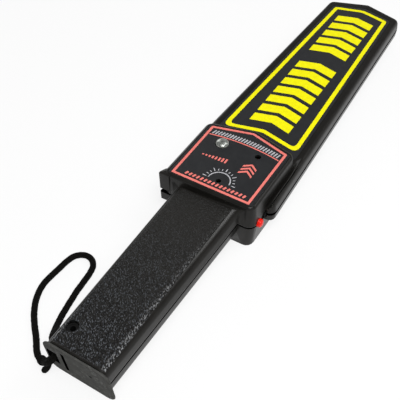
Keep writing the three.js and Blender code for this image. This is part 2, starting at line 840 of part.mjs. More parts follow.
const motorAxis = wallThickness + fitClearance + motorDiameter / 2;
function motorCradle() {
  const width = motorDiameter + 2 * (cradleWall + fitClearance);
  const place = motorPlace.y + motorLength / 2;
  const base = block(
    motorPlace.x, place, wallThickness / 2 + cradleHeight / 2,
    width, motorLength - 2 * cradleWall, cradleHeight + wallThickness / 2,
  );
  const bed = lengthwise(
    motorPlace.x, motorAxis, motorPlace.y - cutOverrun, motorPlace.y + motorLength + cutOverrun,
    motorDiameter / 2 + fitClearance,
  );
  return cut(base, bed);
}

function lowerHousing() {
  const posts = postPlaces.map(({ x, y }) => (
    upright(x, y, wallThickness / 2, boardHeight - fitClearance, postRadius)));
  const shell = joined(
    shellBody.intersect(halfSpace(false)), ...screwPlaces.map(screwBossLower),
    ...posts, speakerRing(), motorCradle(),
  );
  return cut(shell, ...screwPlaces.map(screwHoles), ...speakerGrille(), sideCuts(), lanyardNotch());
}

piece('upper_housing', upperHousing(), housingPlastic);
piece('lower_housing', lowerHousing(), housingPlastic);

// Labels, seated in their recesses
const paddleLabelBottom = paddleTop - labelRecess;
const controlLabelBottom = headTop - labelRecess;
piece('paddle_label', plate(paddleLabelOutline(0), paddleLabelBottom, labelThickness), labelFilm);
const controlPlate = plate(controlLabelOutline(0), controlLabelBottom, labelThickness);
piece('control_label', cut(controlPlate, lampCuts()), labelFilm);

// Battery cap: flange with rounded edges, hollow plug, pry slot and lanyard eye
function capSection(y, inset) {
  const half = capWidth / 2;
  const corners = [
    new THREE.Vector2(-half, capBottom),
    new THREE.Vector2(half, capBottom),
    new THREE.Vector2(half, capTop),
    new THREE.Vector2(-half, capTop),
  ];
  return roundedOutline(corners, Array(corners.length).fill(capCornerRadius), inset)
    .map((point) => new THREE.Vector3(point.x, y + lean(point.y), point.y));
}

function batteryCap() {
  const edge = rollOver(0, capFace + capEdgeRadius, capEdgeRadius, -capEdgeRadius).reverse();
  const flange = loft([
    ...edge.map(([inset, y]) => capSection(y, inset)),
    capSection(capFace + capEdgeRadius, 0),
    capSection(capBack - capBackBevel, 0),
    capSection(capBack, capBackBevel),
  ]);
  const plugInset = wallThickness + fitClearance;
  const plugEnd = capBack + capPlugDepth;
  const plug = cut(
    gripBar(capBack - capThickness / 2, plugEnd, plugInset),
    gripBar(capBack, plugEnd + cutOverrun, plugInset + capPlugWall),
  );
  const prySlot = block(
    -prySlotOffset, capFace, (capTop + capBottom) / 2 + prySlotRise,
    prySlotWidth, 2 * (capThickness + cutOverrun), prySlotLength,
  );
  const eye = block(
    eyeMiddleX, (capFace + plugEnd) / 2, eyeMiddle, eyeWidth, plugEnd - capFace + 2 * capThickness, eyeHeight,
  );
  const sideGap = block(
    -gripWidthButt / 2, capBack + capPlugDepth, eyeMiddle, 2 * eyeWidth, 2 * capPlugDepth, eyeHeight,
  );
  return cut(joined(flange, plug), prySlot, eye, sideGap);
}
piece('battery_cap', batteryCap(), capPlastic);

// Push button, its switch and its return spring
const buttonFace = headHalf + pushButtonRise;
const buttonRear = headHalf - 2 * wallThickness - fitClearance;
function pushButton() {
  const radius = pushButtonDiameter / 2;
  const collar = radius + wallThickness / 2;
  const profile = [
    [0, buttonRear - wallThickness], [collar, buttonRear - wallThickness], [collar, buttonRear],
    [radius, buttonRear], [radius, buttonFace - radius / 2],
  ];
  rollOver(0, buttonFace - radius / 2, radius, radius / 2).forEach(([inset, height]) => {
    profile.push([Math.max(radius - inset, 0), height]);
  });
  const geometry = new THREE.LatheGeometry(profile.map(([r, h]) => new THREE.Vector2(r, h)), roundSides);
  geometry.rotateZ(-Math.PI / 2);
  geometry.translate(0, pushButtonPlace, seamHeight);
  return solidOf(geometry);
}
piece('push_button', pushButton(), redPlastic);

const pushBodyRight = buttonRear - wallThickness - pushTravel - 2 * fitClearance;
piece('push_switch_body', joined(
  block(
    pushBodyRight - pushBodySize / 2, pushButtonPlace, seamHeight,
    pushBodySize, pushBodySize, pushBodySize - 2 * fitClearance,
  ),
  crosswise(
    pushButtonPlace, seamHeight, pushBodyRight - fitClearance, pushBodyRight + fitClearance,
    pushBodySize / 4,
  ),
), blackPlastic);

// Slide switch: knob outside, body under the board
const switchBodyRight = headHalf - 2 * wallThickness - fitClearance;
function slideKnob() {
  const padInner = headHalf - switchPocketDepth + fitClearance;
  const padOuter = headHalf + fitClearance;
  const pad = block(
    (padInner + padOuter) / 2, switchPlace, seamHeight,
    padOuter - padInner, switchKnobLength, switchKnobHeight,
  );
  const ridges = [-1, 0, 1].map((step) => crosswise(
    switchPlace + step * switchRidgePitch, seamHeight, padInner, padOuter + fitClearance,
    switchRidgeRadius, smallSides / 2,
  ));
  const stem = block(
    (switchBodyRight + fitClearance + padInner) / 2, switchPlace, seamHeight,
    padInner - switchBodyRight, switchKnobLength - 2 * fitClearance, switchStemHeight,
  );
  return joined(pad, stem, ...ridges);
}
piece('slide_switch_knob', slideKnob(), blackPlastic);
const switchBodyTop = boardHeight - fitClearance;
piece('slide_switch_body', block(
  switchBodyRight - switchBodyDepth / 2, switchPlace, switchBodyTop - switchBodyHeight / 2,
  switchBodyDepth, switchSlotLength, switchBodyHeight,
), tinnedSteel);

// Circuit board with round clearances for the case screws' bosses
function circuitBoard() {
  const boardRear = headRear + boardRearGap;
  const boardFront = headShoulder - boardFrontGap;
  const board = block(
    0, (boardRear + boardFront) / 2, boardHeight + boardThickness / 2,
    2 * pushBodyRight, boardFront - boardRear, boardThickness,
  );
  const clears = screwPlaces.filter((place) => place.seat === headScrewDepth).map((place) => upright(
    place.x, place.y, boardHeight - cutOverrun, boardTop + cutOverrun, screwBossRadius + 2 * fitClearance,
  ));
  return cut(board, ...clears);
}
piece('circuit_board', circuitBoard(), boardLaminate);

function boxOnBoard(place, width, length, heightShare) {
  const height = heightShare * roomAboveBoard;
  return block(place.x, place.y, seatedOnBoard + height / 2, width, length, height);
}

function canOnBoard(place, diameter, heightShare) {
  const top = seatedOnBoard + heightShare * roomAboveBoard;
  return upright(place.x, place.y, seatedOnBoard, top, diameter / 2);
}
piece('amplifier_chip', boxOnBoard(onHead(chipShare), chipWidth, chipLength, chipHeightShare), blackPlastic);
piece(
  'reservoir_capacitor',
  canOnBoard(onHead(reservoirShare), reservoirDiameter, reservoirHeightShare),
  batteryJacket,
);
smallCapShares.forEach((share, index) => piece(
  `small_capacitor_${index + 1}`,
  canOnBoard(onHead(share), smallCapDiameter, smallCapHeightShare),
  batteryJacket,
));
piece(
  'tuning_coil_can',
  boxOnBoard(onHead(coilCanShare), coilCanSize, coilCanSize, coilCanHeightShare),
  tinnedSteel,
);

// Lamps: flanged body with a low dome, and two leads down to the board
function lamp(place, diameter, flange, domeTop, bodyLength) {
  const radius = diameter / 2;
  const dome = radius * lampDomeShare;
  const bottom = domeTop - bodyLength;
  const step = bottom + wallThickness / 2;
  const profile = [[0, bottom], [flange / 2, bottom], [flange / 2, step], [radius, step]];
  profile.push([radius, domeTop - dome]);
  rollOver(0, domeTop - dome, radius, dome).forEach(([inset, height]) => {
    profile.push([Math.max(radius - inset, 0), height]);
  });
  const leads = [-1, 1].map((side) => upright(
    place.x + side * radius / 3, place.y, seatedOnBoard, bottom + wallThickness / 4,
    leadDiameter / 2, smallSides / 2,
  ));
  return joined(revolved(place.x, place.y, profile, roundSides), ...leads);
}
const lampTop = headTop - labelRecess + labelThickness + lampRise;
const lampLength = lampTop - headCeiling + fitClearance + wallThickness / 2;
piece('indicator_lamp', lamp(lampPlace, lampDiameter, lampFlange, lampTop, lampLength), clearPlastic);
piece('power_lamp', lamp(
  powerLampPlace, powerLampDiameter, powerLampFlange, headCeiling - fitClearance,
  powerLampHeightShare * roomAboveBoard,
), redPlastic);

// Sensitivity trimmer
const trimmerSeat = seatedOnBoard + trimmerHeightShare * roomAboveBoard;
piece('trimmer_body', cut(
  boxOnBoard(trimmerPlace, trimmerBodySize, trimmerBodySize, trimmerHeightShare),
  upright(
    trimmerPlace.x, trimmerPlace.y, trimmerSeat - trimmerRotorHeight, trimmerSeat + cutOverrun,
    trimmerRotorDiameter / 2 + fitClearance,
  ),
), plastic(0x2f5fa8, 0.5));
piece('trimmer_rotor', cut(
  upright(
    trimmerPlace.x, trimmerPlace.y, trimmerSeat - trimmerRotorHeight + fitClearance,
    trimmerSeat + trimmerRotorHeight / 2, trimmerRotorDiameter / 2, roundSides,
  ),
  block(
    trimmerPlace.x, trimmerPlace.y, trimmerSeat + trimmerRotorHeight / 2,
    driverSlotWidth, trimmerRotorDiameter * trimmerSlotShare, 2 * driverSlotDepth,
  ),
), plastic(0xe8e4da, 0.5));

// Socket in the grip's top: a flanged barrel with a bore
function socket() {
  const { x, y } = socketPlace;
  const top = gripTop - socketRecess;
  const barrel = upright(x, y, gripTop - socketDepth, top, socketDiameter / 2, roundSides);
  const bore = upright(x, y, gripTop - socketDepth + wallThickness, top + cutOverrun, socketBore / 2);
  const faceRadius = (socketDiameter - wallThickness) / 2;
  const face = upright(x, y, top - wallThickness / 4, top + cutOverrun, faceRadius, roundSides);
  return cut(barrel, bore, face);
}
piece('charger_socket', socket(), blackPlastic);

// Loudspeaker
const speakerSeat = wallThickness + fitClearance;
const speakerRadius = speakerDiameter / 2;
const coneRadius = coneDiameter / 2;
piece('speaker_basket', revolved(speakerPlace.x, speakerPlace.y, [
  [coneRadius + fitClearance, speakerSeat],
  [speakerRadius, speakerSeat],
  [speakerRadius, speakerSeat + speakerRimHeight],
  [magnetDiameter / 2 + wallThickness, speakerSeat + speakerHeight],
  [magnetPost, speakerSeat + speakerHeight],
  [magnetPost, speakerSeat + speakerHeight - speakerWall],
  [magnetDiameter / 2, speakerSeat + speakerHeight - speakerWall],
  [coneRadius + fitClearance, speakerSeat + speakerRimHeight],
  [coneRadius + fitClearance, speakerSeat],
], roundSides), tinnedSteel);
piece('speaker_cone', revolved(speakerPlace.x, speakerPlace.y, [
  [0, speakerSeat + coneHeight - coneWall],
  [magnetPost, speakerSeat + coneHeight - coneWall],
  [coneRadius, speakerSeat],
  [coneRadius, speakerSeat + coneWall],
  [magnetPost, speakerSeat + coneHeight],
  [0, speakerSeat + coneHeight],
], roundSides), conePaper);
const magnetBottom = speakerSeat + speakerHeight + fitClearance;
piece('speaker_magnet', joined(
  upright(
    speakerPlace.x, speakerPlace.y, magnetBottom, magnetBottom + magnetHeight,
    magnetDiameter / 2, roundSides,
  ),
  upright(
    speakerPlace.x, speakerPlace.y, speakerSeat + coneHeight + fitClearance, magnetBottom + cutOverrun,
    magnetPost - fitClearance,
  ),
), magnetSteel);

// Vibration motor and its eccentric weight
const motorEnd = motorPlace.y + motorLength;
const weightStart = motorEnd + fitClearance * 2;
piece('vibration_motor', joined(
  lengthwise(motorPlace.x, motorAxis, motorPlace.y, motorEnd, motorDiameter / 2, roundSides),
  lengthwise(
    motorPlace.x, motorAxis, motorEnd - cutOverrun, motorEnd + motorShaftLength, motorShaftDiameter / 2,
  ),
), tinnedSteel);
function motorWeight() {
  const weightEnd = weightStart + motorWeightLength;
  const fan = lengthwise(motorPlace.x, motorAxis, weightStart, weightEnd, motorWeightRadius, roundSides);
  const away = block(
    motorPlace.x, weightStart + motorWeightLength / 2, motorAxis + motorWeightRadius,
    3 * motorWeightRadius, 2 * motorWeightLength, 2 * motorWeightRadius,
  );
  const hub = lengthwise(
    motorPlace.x, motorAxis, weightStart, weightEnd,
    motorShaftDiameter / 2 + fitClearance + wallThickness / 2,
  );
  const bore = lengthwise(
    motorPlace.x, motorAxis, weightStart - cutOverrun, weightEnd + cutOverrun,
    motorShaftDiameter / 2 + fitClearance,
  );
  return cut(joined(cut(fan, away), hub), bore);
}
piece('motor_weight', motorWeight(), springBrass);

// Battery, its contact block and the two snap contacts
const batteryMiddle = gripMiddle;
const batteryWall = gripHalfWidth(batteryPlace) - wallThickness;
const batteryOffset = batteryWall - batterySideGap - batteryWidth / 2;
function batteryCase() {
  const corners = [[-1, -1], [1, -1], [1, 1], [-1, 1]].map(([across, up]) => new THREE.Vector2(
    batteryOffset + across * batteryWidth / 2, batteryMiddle + up * batteryHeight / 2,
  ));
  const ring = roundedOutline(corners, Array(corners.length).fill(batteryEdgeRadius));
  return loft([batteryPlace, batteryPlace + batteryLength].map((y) => (
    ring.map((point) => new THREE.Vector3(point.x, y, point.y)))));
}
const terminalStart = batteryPlace + batteryLength;
const terminalPlaces = [batteryOffset - terminalSpacing / 2, batteryOffset + terminalSpacing / 2];
piece('battery', joined(
  batteryCase(),
  ...terminalPlaces.map((x) => lengthwise(
    x, batteryMiddle, terminalStart - cutOverrun, terminalStart + terminalHeight, terminalDiameter / 2,
  )),
), batteryJacket);
const contactStart = terminalStart + terminalHeight + fitClearance;
terminalPlaces.forEach((x, index) => piece(`snap_contact_${index + 1}`, lengthwise(
  x, batteryMiddle, contactStart, contactStart + contactThickness, terminalDiameter / 2,
), springBrass));
const contactBlockStart = contactStart + contactThickness + fitClearance;
piece('contact_block', block(
  batteryOffset, contactBlockStart + contactBlockThickness / 2, batteryMiddle,
  batteryWidth - 2 * batteryEdgeRadius, contactBlockThickness,
  gripTop - gripBottom - 2 * (wallThickness + fitClearance),
), blackPlastic);

// Search coil: a former with an upright rim, and two windings round it
const formerSeat = paddleBottom + wallThickness + fitClearance;
const formerStart = paddleScrewRear + formerEndGap;
const formerEnd = paddleScrewFront - formerEndGap;
function formerOutline(inset) {
  const rear = paddleHalfWidth(formerStart) - paddleEdgeRun - formerSideGap;
  const front = paddleHalfWidth(formerEnd) - paddleEdgeRun - formerSideGap;
  const corners = [
    new THREE.Vector2(-rear, formerStart),
    new THREE.Vector2(rear, formerStart),
    new THREE.Vector2(front, formerEnd),
    new THREE.Vector2(-front, formerEnd),
  ];
  return roundedOutline(corners, Array(corners.length).fill(formerCornerRadius), inset);
}

function ringPlate(outer, inner, bottom, height) {
  return cut(
    plate(formerOutline(outer), bottom, height),
    plate(formerOutline(inner), bottom - cutOverrun, height + 2 * cutOverrun),
  );
}

const channel = windingWidth + 2 * fitClearance;
const innerRim = innerCoilInset + formerRimWidth + channel;
function coilFormer() {
  const floor = ringPlate(0, innerRim + formerRimWidth, formerSeat, formerBase);
  const outerRim = ringPlate(channel, channel + formerRimWidth, formerSeat, formerRimHeight);
  const middleRim = ringPlate(innerCoilInset, innerCoilInset + formerRimWidth, formerSeat, formerRimHeight);
  return joined(floor, outerRim, middleRim);
}
piece('coil_former', coilFormer(), formerPlastic);
const windingSeat = formerSeat + formerBase + fitClearance;
function winding(outer) {
  return ringPlate(outer, outer + windingWidth, windingSeat, windingHeight);
}
piece('transmit_coil', winding(fitClearance), copperWire);
piece('receive_coil', winding(innerCoilInset + formerRimWidth + fitClearance), copperWire);

screwPlaces.forEach((place) => piece(place.name, caseScrew(place), screwSteel));

// Wrist lanyard: a neck that passes the eye, a knot in front of it, and the free loop on the table
function sweptTube(points, radius, sides, steps) {
  const ring = Array.from({ length: sides }, (_, side) => {
    const angle = 2 * Math.PI * side / sides;
    return new THREE.Vector2(radius * Math.cos(angle), radius * Math.sin(angle));
  });
  const path = new THREE.CatmullRomCurve3(points, false, 'centripetal');
  const settings = { steps, bevelEnabled: false, extrudePath: path };
  const geometry = new THREE.ExtrudeGeometry(new THREE.Shape(ring), settings);
  return solidOf(geometry);
}

function routeOf(places) {
  return places.map(([x, y, z]) => new THREE.Vector3(x, y, z));
}

const loopPoints = routeOf(loopRoute);
const loopLength = new THREE.CatmullRomCurve3(loopPoints, false, 'centripetal').getLength();
const loopSteps = Math.round(loopLength / cordStep);
piece('lanyard_cord', sweptTube(loopPoints, cordRadius, cordSides, loopSteps), cordFabric);

function lanyardKnot() {
  const neck = routeOf(neckRoute);
  const tail = routeOf(tailRoute);
  const heart = neck.at(-2);
  const ring = new THREE.TorusGeometry(knotRingRadius, knotStrandRadius, cordSides, smallSides);
  const along = neck.at(-1).clone().sub(neck.at(-3)).normalize();
  ring.applyQuaternion(new THREE.Quaternion().setFromUnitVectors(new THREE.Vector3(0, 0, 1), along));
  ring.translate(heart.x, heart.y, heart.z);
  return joined(
    sweptTube(neck, cordRadius, cordSides, 2 * neck.length),
    sweptTube(tail, tailRadius, cordSides, 2 * tail.length),
    solidOf(ring),
  );
}
piece('lanyard_knot', lanyardKnot(), cordFabric);

export default wand;
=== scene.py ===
"""Hand-held security metal detector wand, dressed over its CAD frame.

Metres, +Z up. +Y runs along the wand from the battery cap to the paddle's tip.
New pieces are surfaces worked out with numpy over a grid or along a path.
"""

import bmesh
import bpy
import numpy as np
from mathutils import Matrix, Vector


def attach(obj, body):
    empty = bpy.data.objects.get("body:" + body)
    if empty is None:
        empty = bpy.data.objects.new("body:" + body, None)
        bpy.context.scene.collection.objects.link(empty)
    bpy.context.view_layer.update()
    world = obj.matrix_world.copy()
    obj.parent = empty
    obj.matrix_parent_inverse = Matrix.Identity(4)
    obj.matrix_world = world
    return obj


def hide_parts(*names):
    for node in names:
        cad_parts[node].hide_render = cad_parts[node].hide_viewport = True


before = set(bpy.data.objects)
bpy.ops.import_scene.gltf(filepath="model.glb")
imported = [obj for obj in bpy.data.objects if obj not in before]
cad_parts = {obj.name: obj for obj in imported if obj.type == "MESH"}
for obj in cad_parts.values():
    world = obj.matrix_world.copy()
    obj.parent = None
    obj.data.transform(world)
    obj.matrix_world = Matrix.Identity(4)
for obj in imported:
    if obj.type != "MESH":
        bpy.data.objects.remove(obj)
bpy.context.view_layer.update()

MM = 0.001
PHOTO_SIDE = 400

# Camera, fitted to the photograph
CAMERA_PLACE = (0.16215, -0.32283, 0.35698)
CAMERA_FORWARD = (-0.37260, 0.56520, -0.73601)
CAMERA_ROLL_DEG = -2.06
CAMERA_NEAR = 10 * MM
FOCAL_PIXELS = 680
SENSOR_WIDTH = 36.0

# The wand's own places, repeated from the part's source; lengths along it start at the butt
BUTT_TO_MIDDLE = 204.6333 * MM
GRIP_START = 1 * MM
GRIP_END = 135 * MM
PADDLE_START = 200 * MM
PADDLE_LABEL_TOP = 27.7 * MM
CONTROL_LABEL_TOP = 37.9 * MM

# The parting line: half the height of its groove, and of the painted shade round it on the paddle and on
# the wings, which are all that lies further than this to the left or right
SEAM_HEIGHT = 19.5 * MM
SEAM_GROOVE = 0.66 * MM
PADDLE_SHADE = 1.1 * MM
WINGS_FROM_MIDDLE = 36 * MM

# Battery cap: its leaning face, how far behind it a recess starts, the span of its slot and eye,
# and its dent, whose middle is in millimetres from the butt
CAP_FACE = -1.2 * MM
CAP_LEAN = 0.06
CAP_MIDDLE_HEIGHT = 20.55 * MM
CAP_RECESS_DEPTH = 0.1 * MM
CAP_OPENING_SIDES = (-22.4 * MM, -5 * MM)
CAP_OPENING_HEIGHTS = (5 * MM, 29.6 * MM)
CAP_DENT = (9.2, -1.14, 19.6)
DENT_FLOOR = 0.7 * MM
DENT_RIM = 1.5 * MM

# Skins of moulded nodes
MERGE_DISTANCE = 0.002 * MM
FLAT_WITHIN_DEG = 0.2
SHARP_DEG = 35

# Printing on the labels, in millimetres from the butt
INK_HEIGHT = 0.08 * MM
INK_SEAT = 0.02 * MM
CORNER_STEPS = 9
INNER_RADIUS_LOSS = 0.6
LEAST_RADIUS = 0.25
PADDLE_FRAME = [(-29.9, 206.8), (-0.8, 213.9), (29.8, 206.8), (23.75, 392.1), (0, 398.3), (-23.75, 392.1)]
PADDLE_FRAME_RADII = [6.5, 3, 6.5, 2.4, 3, 2.4]
PADDLE_FRAME_WIDTH = 3.2
CHEVRON_HALF = 16
CHEVRON_RISE = 4.4
CHEVRON_THICKNESS = 8.6
CHEVRON_STARTS = [222, 234.4, 246.8, 259.2, 271.6, 284, 296.4, 322.4, 334.8, 347.2, 359.6, 372]
CONTROL_FRAME = [(-29.4, 138.9), (29.4, 138.9), (29.6, 191.9), (0, 199.7), (-29.6, 191.9)]
CONTROL_FRAME_RADII = [0.5, 0.5, 0.6, 1.2, 0.6]
CONTROL_FRAME_WIDTH = 1.8

# Arch of hatching over the control label, with a line under it
ARCH_HALF = 27
ARCH_RISE = 2.6
HATCH_FOOT = 185.0
HATCH_SPAN = (-25.5, 24.5)
HATCH_COUNT = 24
HATCH_SLANT = (1.1, 4.0)
HATCH_WIDTH = 1.1
ARCH_LINE_FOOT = 183.4
ARCH_LINE_THICKNESS = 0.9
ARCH_LINE_STEPS = 25

# Dial scale round the adjuster's hole: ticks and an arc, by their distances from the hole's middle
TRIMMER_HOLE = (2, 147.5)
TICK_COUNT = 13
TICK_START = 9.4
TICK_END = 11.0
LONG_TICK_END = 12.2
LONG_TICK_EVERY = 3
TICK_WIDTH = 0.6
DIAL_ARC = (7.4, 8.2)
DIAL_ARC_STEPS = 49

# Rising level marks, three sweep marks, and the row of slanted marks at the label's foot
LEVEL_FOOT = 163.6
LEVEL_SPAN = (-20, -3)
LEVEL_COUNT = 8
LEVEL_HEIGHTS = (1.0, 4.2)
LEVEL_WIDTH = 1.3
SWEEP_MARK = [(9, 160), (14, 163.5), (19, 160)]
SWEEP_MARK_STEPS = (0, 3.4, 6.8)
SWEEP_MARK_THICKNESS = 1.7
FOOT_MARK_START = 142.2
FOOT_MARK_SPAN = (-20.5, 23)
FOOT_MARK_COUNT = 16
FOOT_MARK_SLANT = (1.0, 2.6)
FOOT_MARK_WIDTH = 1.5

# Lanyard: the braid, the knot's wraps and tail, and how many rings each length has
CORD_DIAMETER = 4.2 * MM
BRAID_STRANDS = 10
BRAID_RELIEF = 0.24 * MM
BRAID_AROUND = 60
BRAID_PITCH_RADII = 4.4
TAIL_RADIUS = 2.0 * MM
TAIL_CLOSED_SHARE = 0.995
WRAP_RADIUS = 1.5 * MM
WRAP_STRAND = 1.4 * MM
WRAP_TURNS = 2.4
WRAP_SPREAD = 3.4 * MM
LOOP_RINGS = 900
NECK_RINGS = 220
TAIL_RINGS = 120
SECOND_STRAND_RINGS = 160
WRAP_RINGS = 160
PATH_STEPS = 40

# Lanyard routes, in millimetres from the butt
LOOP_ROUTE = [
    (-27, 7.9, 14), (-29, 10, 12.8), (-31, 12.5, 10.5), (-33.4, 15.8, 7.7), (-35.6, 19.2, 5.3),
    (-37.6, 23.1, 3.5), (-39.3, 27.9, 2.6), (-40.7, 33.8, 2.3), (-41.9, 40.4, 2.3), (-43.2, 48, 2.3),
    (-44, 56, 2.3), (-44.9, 63.2, 2.3), (-46.4, 68.3, 2.3), (-49.8, 72, 2.3), (-54.4, 73.4, 2.3),
    (-59, 72.1, 2.3), (-62.4, 68.5, 2.3), (-63.9, 63.4, 2.3), (-64.4, 57.5, 2.3), (-64.9, 51, 2.3),
    (-65.2, 42.1, 2.3), (-63.3, 34, 2.3), (-59.4, 26.3, 2.3), (-53.7, 18.9, 2.3), (-47.7, 12.9, 2.3),
    (-42, 7.6, 2.4), (-37.2, 2.5, 2.9), (-32.9, -0.9, 3.8),
]
NECK_ROUTE = [
    (-26.2, 7.2, 14.3), (-23.4, 5.3, 14.9), (-20.6, 3.6, 15), (-18.9, 1.6, 14.8), (-18.8, -0.6, 14),
    (-20.3, -3, 11.8), (-22.8, -3.6, 9.3), (-25.4, -3.2, 7.3), (-28, -2.4, 5.5), (-31.7, -1.5, 4.1),
]
TAIL_ROUTE = [
    (-26.5, -2.6, 6.6), (-24.2, -2.4, 7.4), (-22.6, -2.9, 6.8), (-22.7, -4.2, 5), (-23.8, -5.6, 3.3),
    (-24.9, -6.9, 2.3),
]
SECOND_STRAND_ROUTE = [
    (-27.6, 6, 11.4), (-25.2, 4.4, 12.2), (-22.8, 2.6, 12.3), (-21.3, 0.6, 11.8), (-21.8, -1.3, 10.4),
    (-23.6, -2.2, 8.6), (-26, -2.3, 7), (-28.6, -2, 5.4),
]

# Studio, in metres and watts: each softbox has its direction, distance, size and power
FLOOR_WHITE = (0.9, 0.9, 0.9, 1)
FLOOR_GLOW_SHARE = 0.8
SKY_STRENGTH = 0.25
FLOOR_HUB = 0.02
FLOOR_MIDDLE = 1.2
RIM_START = 2.6
RIM_RADIUS = 0.6
RIM_TOP = 1.0
RIM_STEPS = 10
FLOOR_AROUND = 72
SOFTBOXES = [
    ("fill", (0.32, -0.34, 0.88), 1.1, (0.7, 0.7), 8.6),
    ("key", (0.44, 0.46, 0.77), 1.0, (0.4, 0.5), 2.4),
    ("rim", (-0.75, 0.5, 0.35), 1.0, (0.4, 0.6), 1.5),
    ("spark", (0.36, -0.42, 0.83), 1.0, (0.05, 0.05), 0.9),
]


def wand_points(route):
    """Route points in millimetres from the butt, as metres in the wand's frame."""
    points = np.array(route, float) * MM
    points[:, 1] -= BUTT_TO_MIDDLE
    return points


# Mesh helpers


def link(name, data):
    """A new object of the given name at the origin, in the scene."""
    piece = bpy.data.objects.new(name, data)
    bpy.context.scene.collection.objects.link(piece)
    return piece


def grid_faces(rows, columns, wrap_rows=False, wrap_columns=False):
    """Quads over a grid of rows by columns, closed round either way on request."""
    row_steps = rows if wrap_rows else rows - 1
    column_steps = columns if wrap_columns else columns - 1
    r, c = np.meshgrid(np.arange(row_steps), np.arange(column_steps), indexing="ij")
    r, c = r.ravel(), c.ravel()
    r2, c2 = (r + 1) % rows, (c + 1) % columns
    return np.stack([r * columns + c, r * columns + c2, r2 * columns + c2, r2 * columns + c], axis=1)


def mesh_piece(name, vertices, faces, material, smooth=True):
    """A piece of one material, with its faces turned outwards."""
    mesh = bpy.data.meshes.new(name)
    mesh.from_pydata(vertices.tolist(), [], faces)
    mesh.polygons.foreach_set("use_smooth", [smooth] * len(mesh.polygons))
    shape = bmesh.new()
    shape.from_mesh(mesh)
    bmesh.ops.recalc_face_normals(shape, faces=shape.faces)
    shape.to_mesh(mesh)
    shape.free()
    mesh.materials.append(material)
    return link(name, mesh)


def surface(name, points, material, wrap_rows=False, wrap_columns=False, fans=(), smooth=True):
    """A mesh over a grid of points, with a fan that closes each named end row on its middle."""
    rows, columns = points.shape[:2]
    vertices = points.reshape(-1, 3)
    faces = grid_faces(rows, columns, wrap_rows, wrap_columns).tolist()
    for row in fans:
        hub = np.full(columns, len(vertices))
        vertices = np.vstack([vertices, points[row].mean(axis=0)])
        ring = row % rows * columns + np.arange(columns)
        following = np.roll(ring, -1)
        fan = [hub, following, ring] if row == 0 else [hub, ring, following]
        faces += np.stack(fan, axis=1).tolist()
    return mesh_piece(name, vertices, faces, material, smooth)


def moulded_copy(node, name, material, levels=()):
    """The CAD node's skin, merged and smoothed, so that its fillets shade as one curve.

    Its faces are split where they cross one of the levels, which are heights.
    """
    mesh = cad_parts[node].data.copy()
    mesh.name = name
    shape = bmesh.new()
    shape.from_mesh(mesh)
    bmesh.ops.remove_doubles(shape, verts=shape.verts, dist=MERGE_DISTANCE)
    bmesh.ops.dissolve_degenerate(shape, edges=shape.edges, dist=MERGE_DISTANCE)
    bmesh.ops.dissolve_limit(
        shape, angle_limit=np.radians(FLAT_WITHIN_DEG), use_dissolve_boundaries=False,
        verts=shape.verts, edges=shape.edges,
    )
    for height in levels:
        everything = shape.verts[:] + shape.edges[:] + shape.faces[:]
        bmesh.ops.bisect_plane(shape, geom=everything, plane_co=(0, 0, height), plane_no=(0, 0, 1))
    shape.to_mesh(mesh)
    shape.free()
    mesh.polygons.foreach_set("use_smooth", [True] * len(mesh.polygons))
    mesh.set_sharp_from_angle(angle=np.radians(SHARP_DEG))
    mesh.materials.clear()
    mesh.materials.append(material)
    piece = link(name, mesh)
    weights = piece.modifiers.new("face weights", "WEIGHTED_NORMAL")
    weights.keep_sharp = True
    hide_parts(node)
    return piece


def smooth_path(points, count):
    """Centripetal Catmull-Rom curve through the points, at count even steps of its length."""
    before = 2 * points[0] - points[1]
    after = 2 * points[-1] - points[-2]
    knots = np.vstack([before, points, after])
    dense = []
    for p0, p1, p2, p3 in zip(knots, knots[1:], knots[2:], knots[3:]):
        t0 = 0.0
        t1 = t0 + np.linalg.norm(p1 - p0) ** 0.5
        t2 = t1 + np.linalg.norm(p2 - p1) ** 0.5
        t3 = t2 + np.linalg.norm(p3 - p2) ** 0.5
        t = np.linspace(t1, t2, PATH_STEPS, endpoint=False)[:, None]
        a1 = (t1 - t) / (t1 - t0) * p0 + (t - t0) / (t1 - t0) * p1
        a2 = (t2 - t) / (t2 - t1) * p1 + (t - t1) / (t2 - t1) * p2
        a3 = (t3 - t) / (t3 - t2) * p2 + (t - t2) / (t3 - t2) * p3
        b1 = (t2 - t) / (t2 - t0) * a1 + (t - t0) / (t2 - t0) * a2
        b2 = (t3 - t) / (t3 - t1) * a2 + (t - t1) / (t3 - t1) * a3
        dense.append((t2 - t) / (t2 - t1) * b1 + (t - t1) / (t2 - t1) * b2)
    dense = np.vstack(dense + [points[-1:]])
    along = np.concatenate([[0], np.cumsum(np.linalg.norm(np.diff(dense, axis=0), axis=1))])
    even = np.linspace(0, along[-1], count)
    return np.stack([np.interp(even, along, dense[:, k]) for k in range(3)], axis=1), along[-1]


def carried_frame(path):
    """Two directions across the path, carried along it with the least twist."""
    tangents = np.gradient(path, axis=0)
    tangents /= np.linalg.norm(tangents, axis=1)[:, None]
    side = np.cross(tangents[0], (0, 0, 1.0))
    sides = []
    for tangent in tangents:
        side = side - tangent * side.dot(tangent)
        side = side / np.linalg.norm(side)
        sides.append(side)
    sides = np.array(sides)
    return sides, np.cross(tangents, sides)


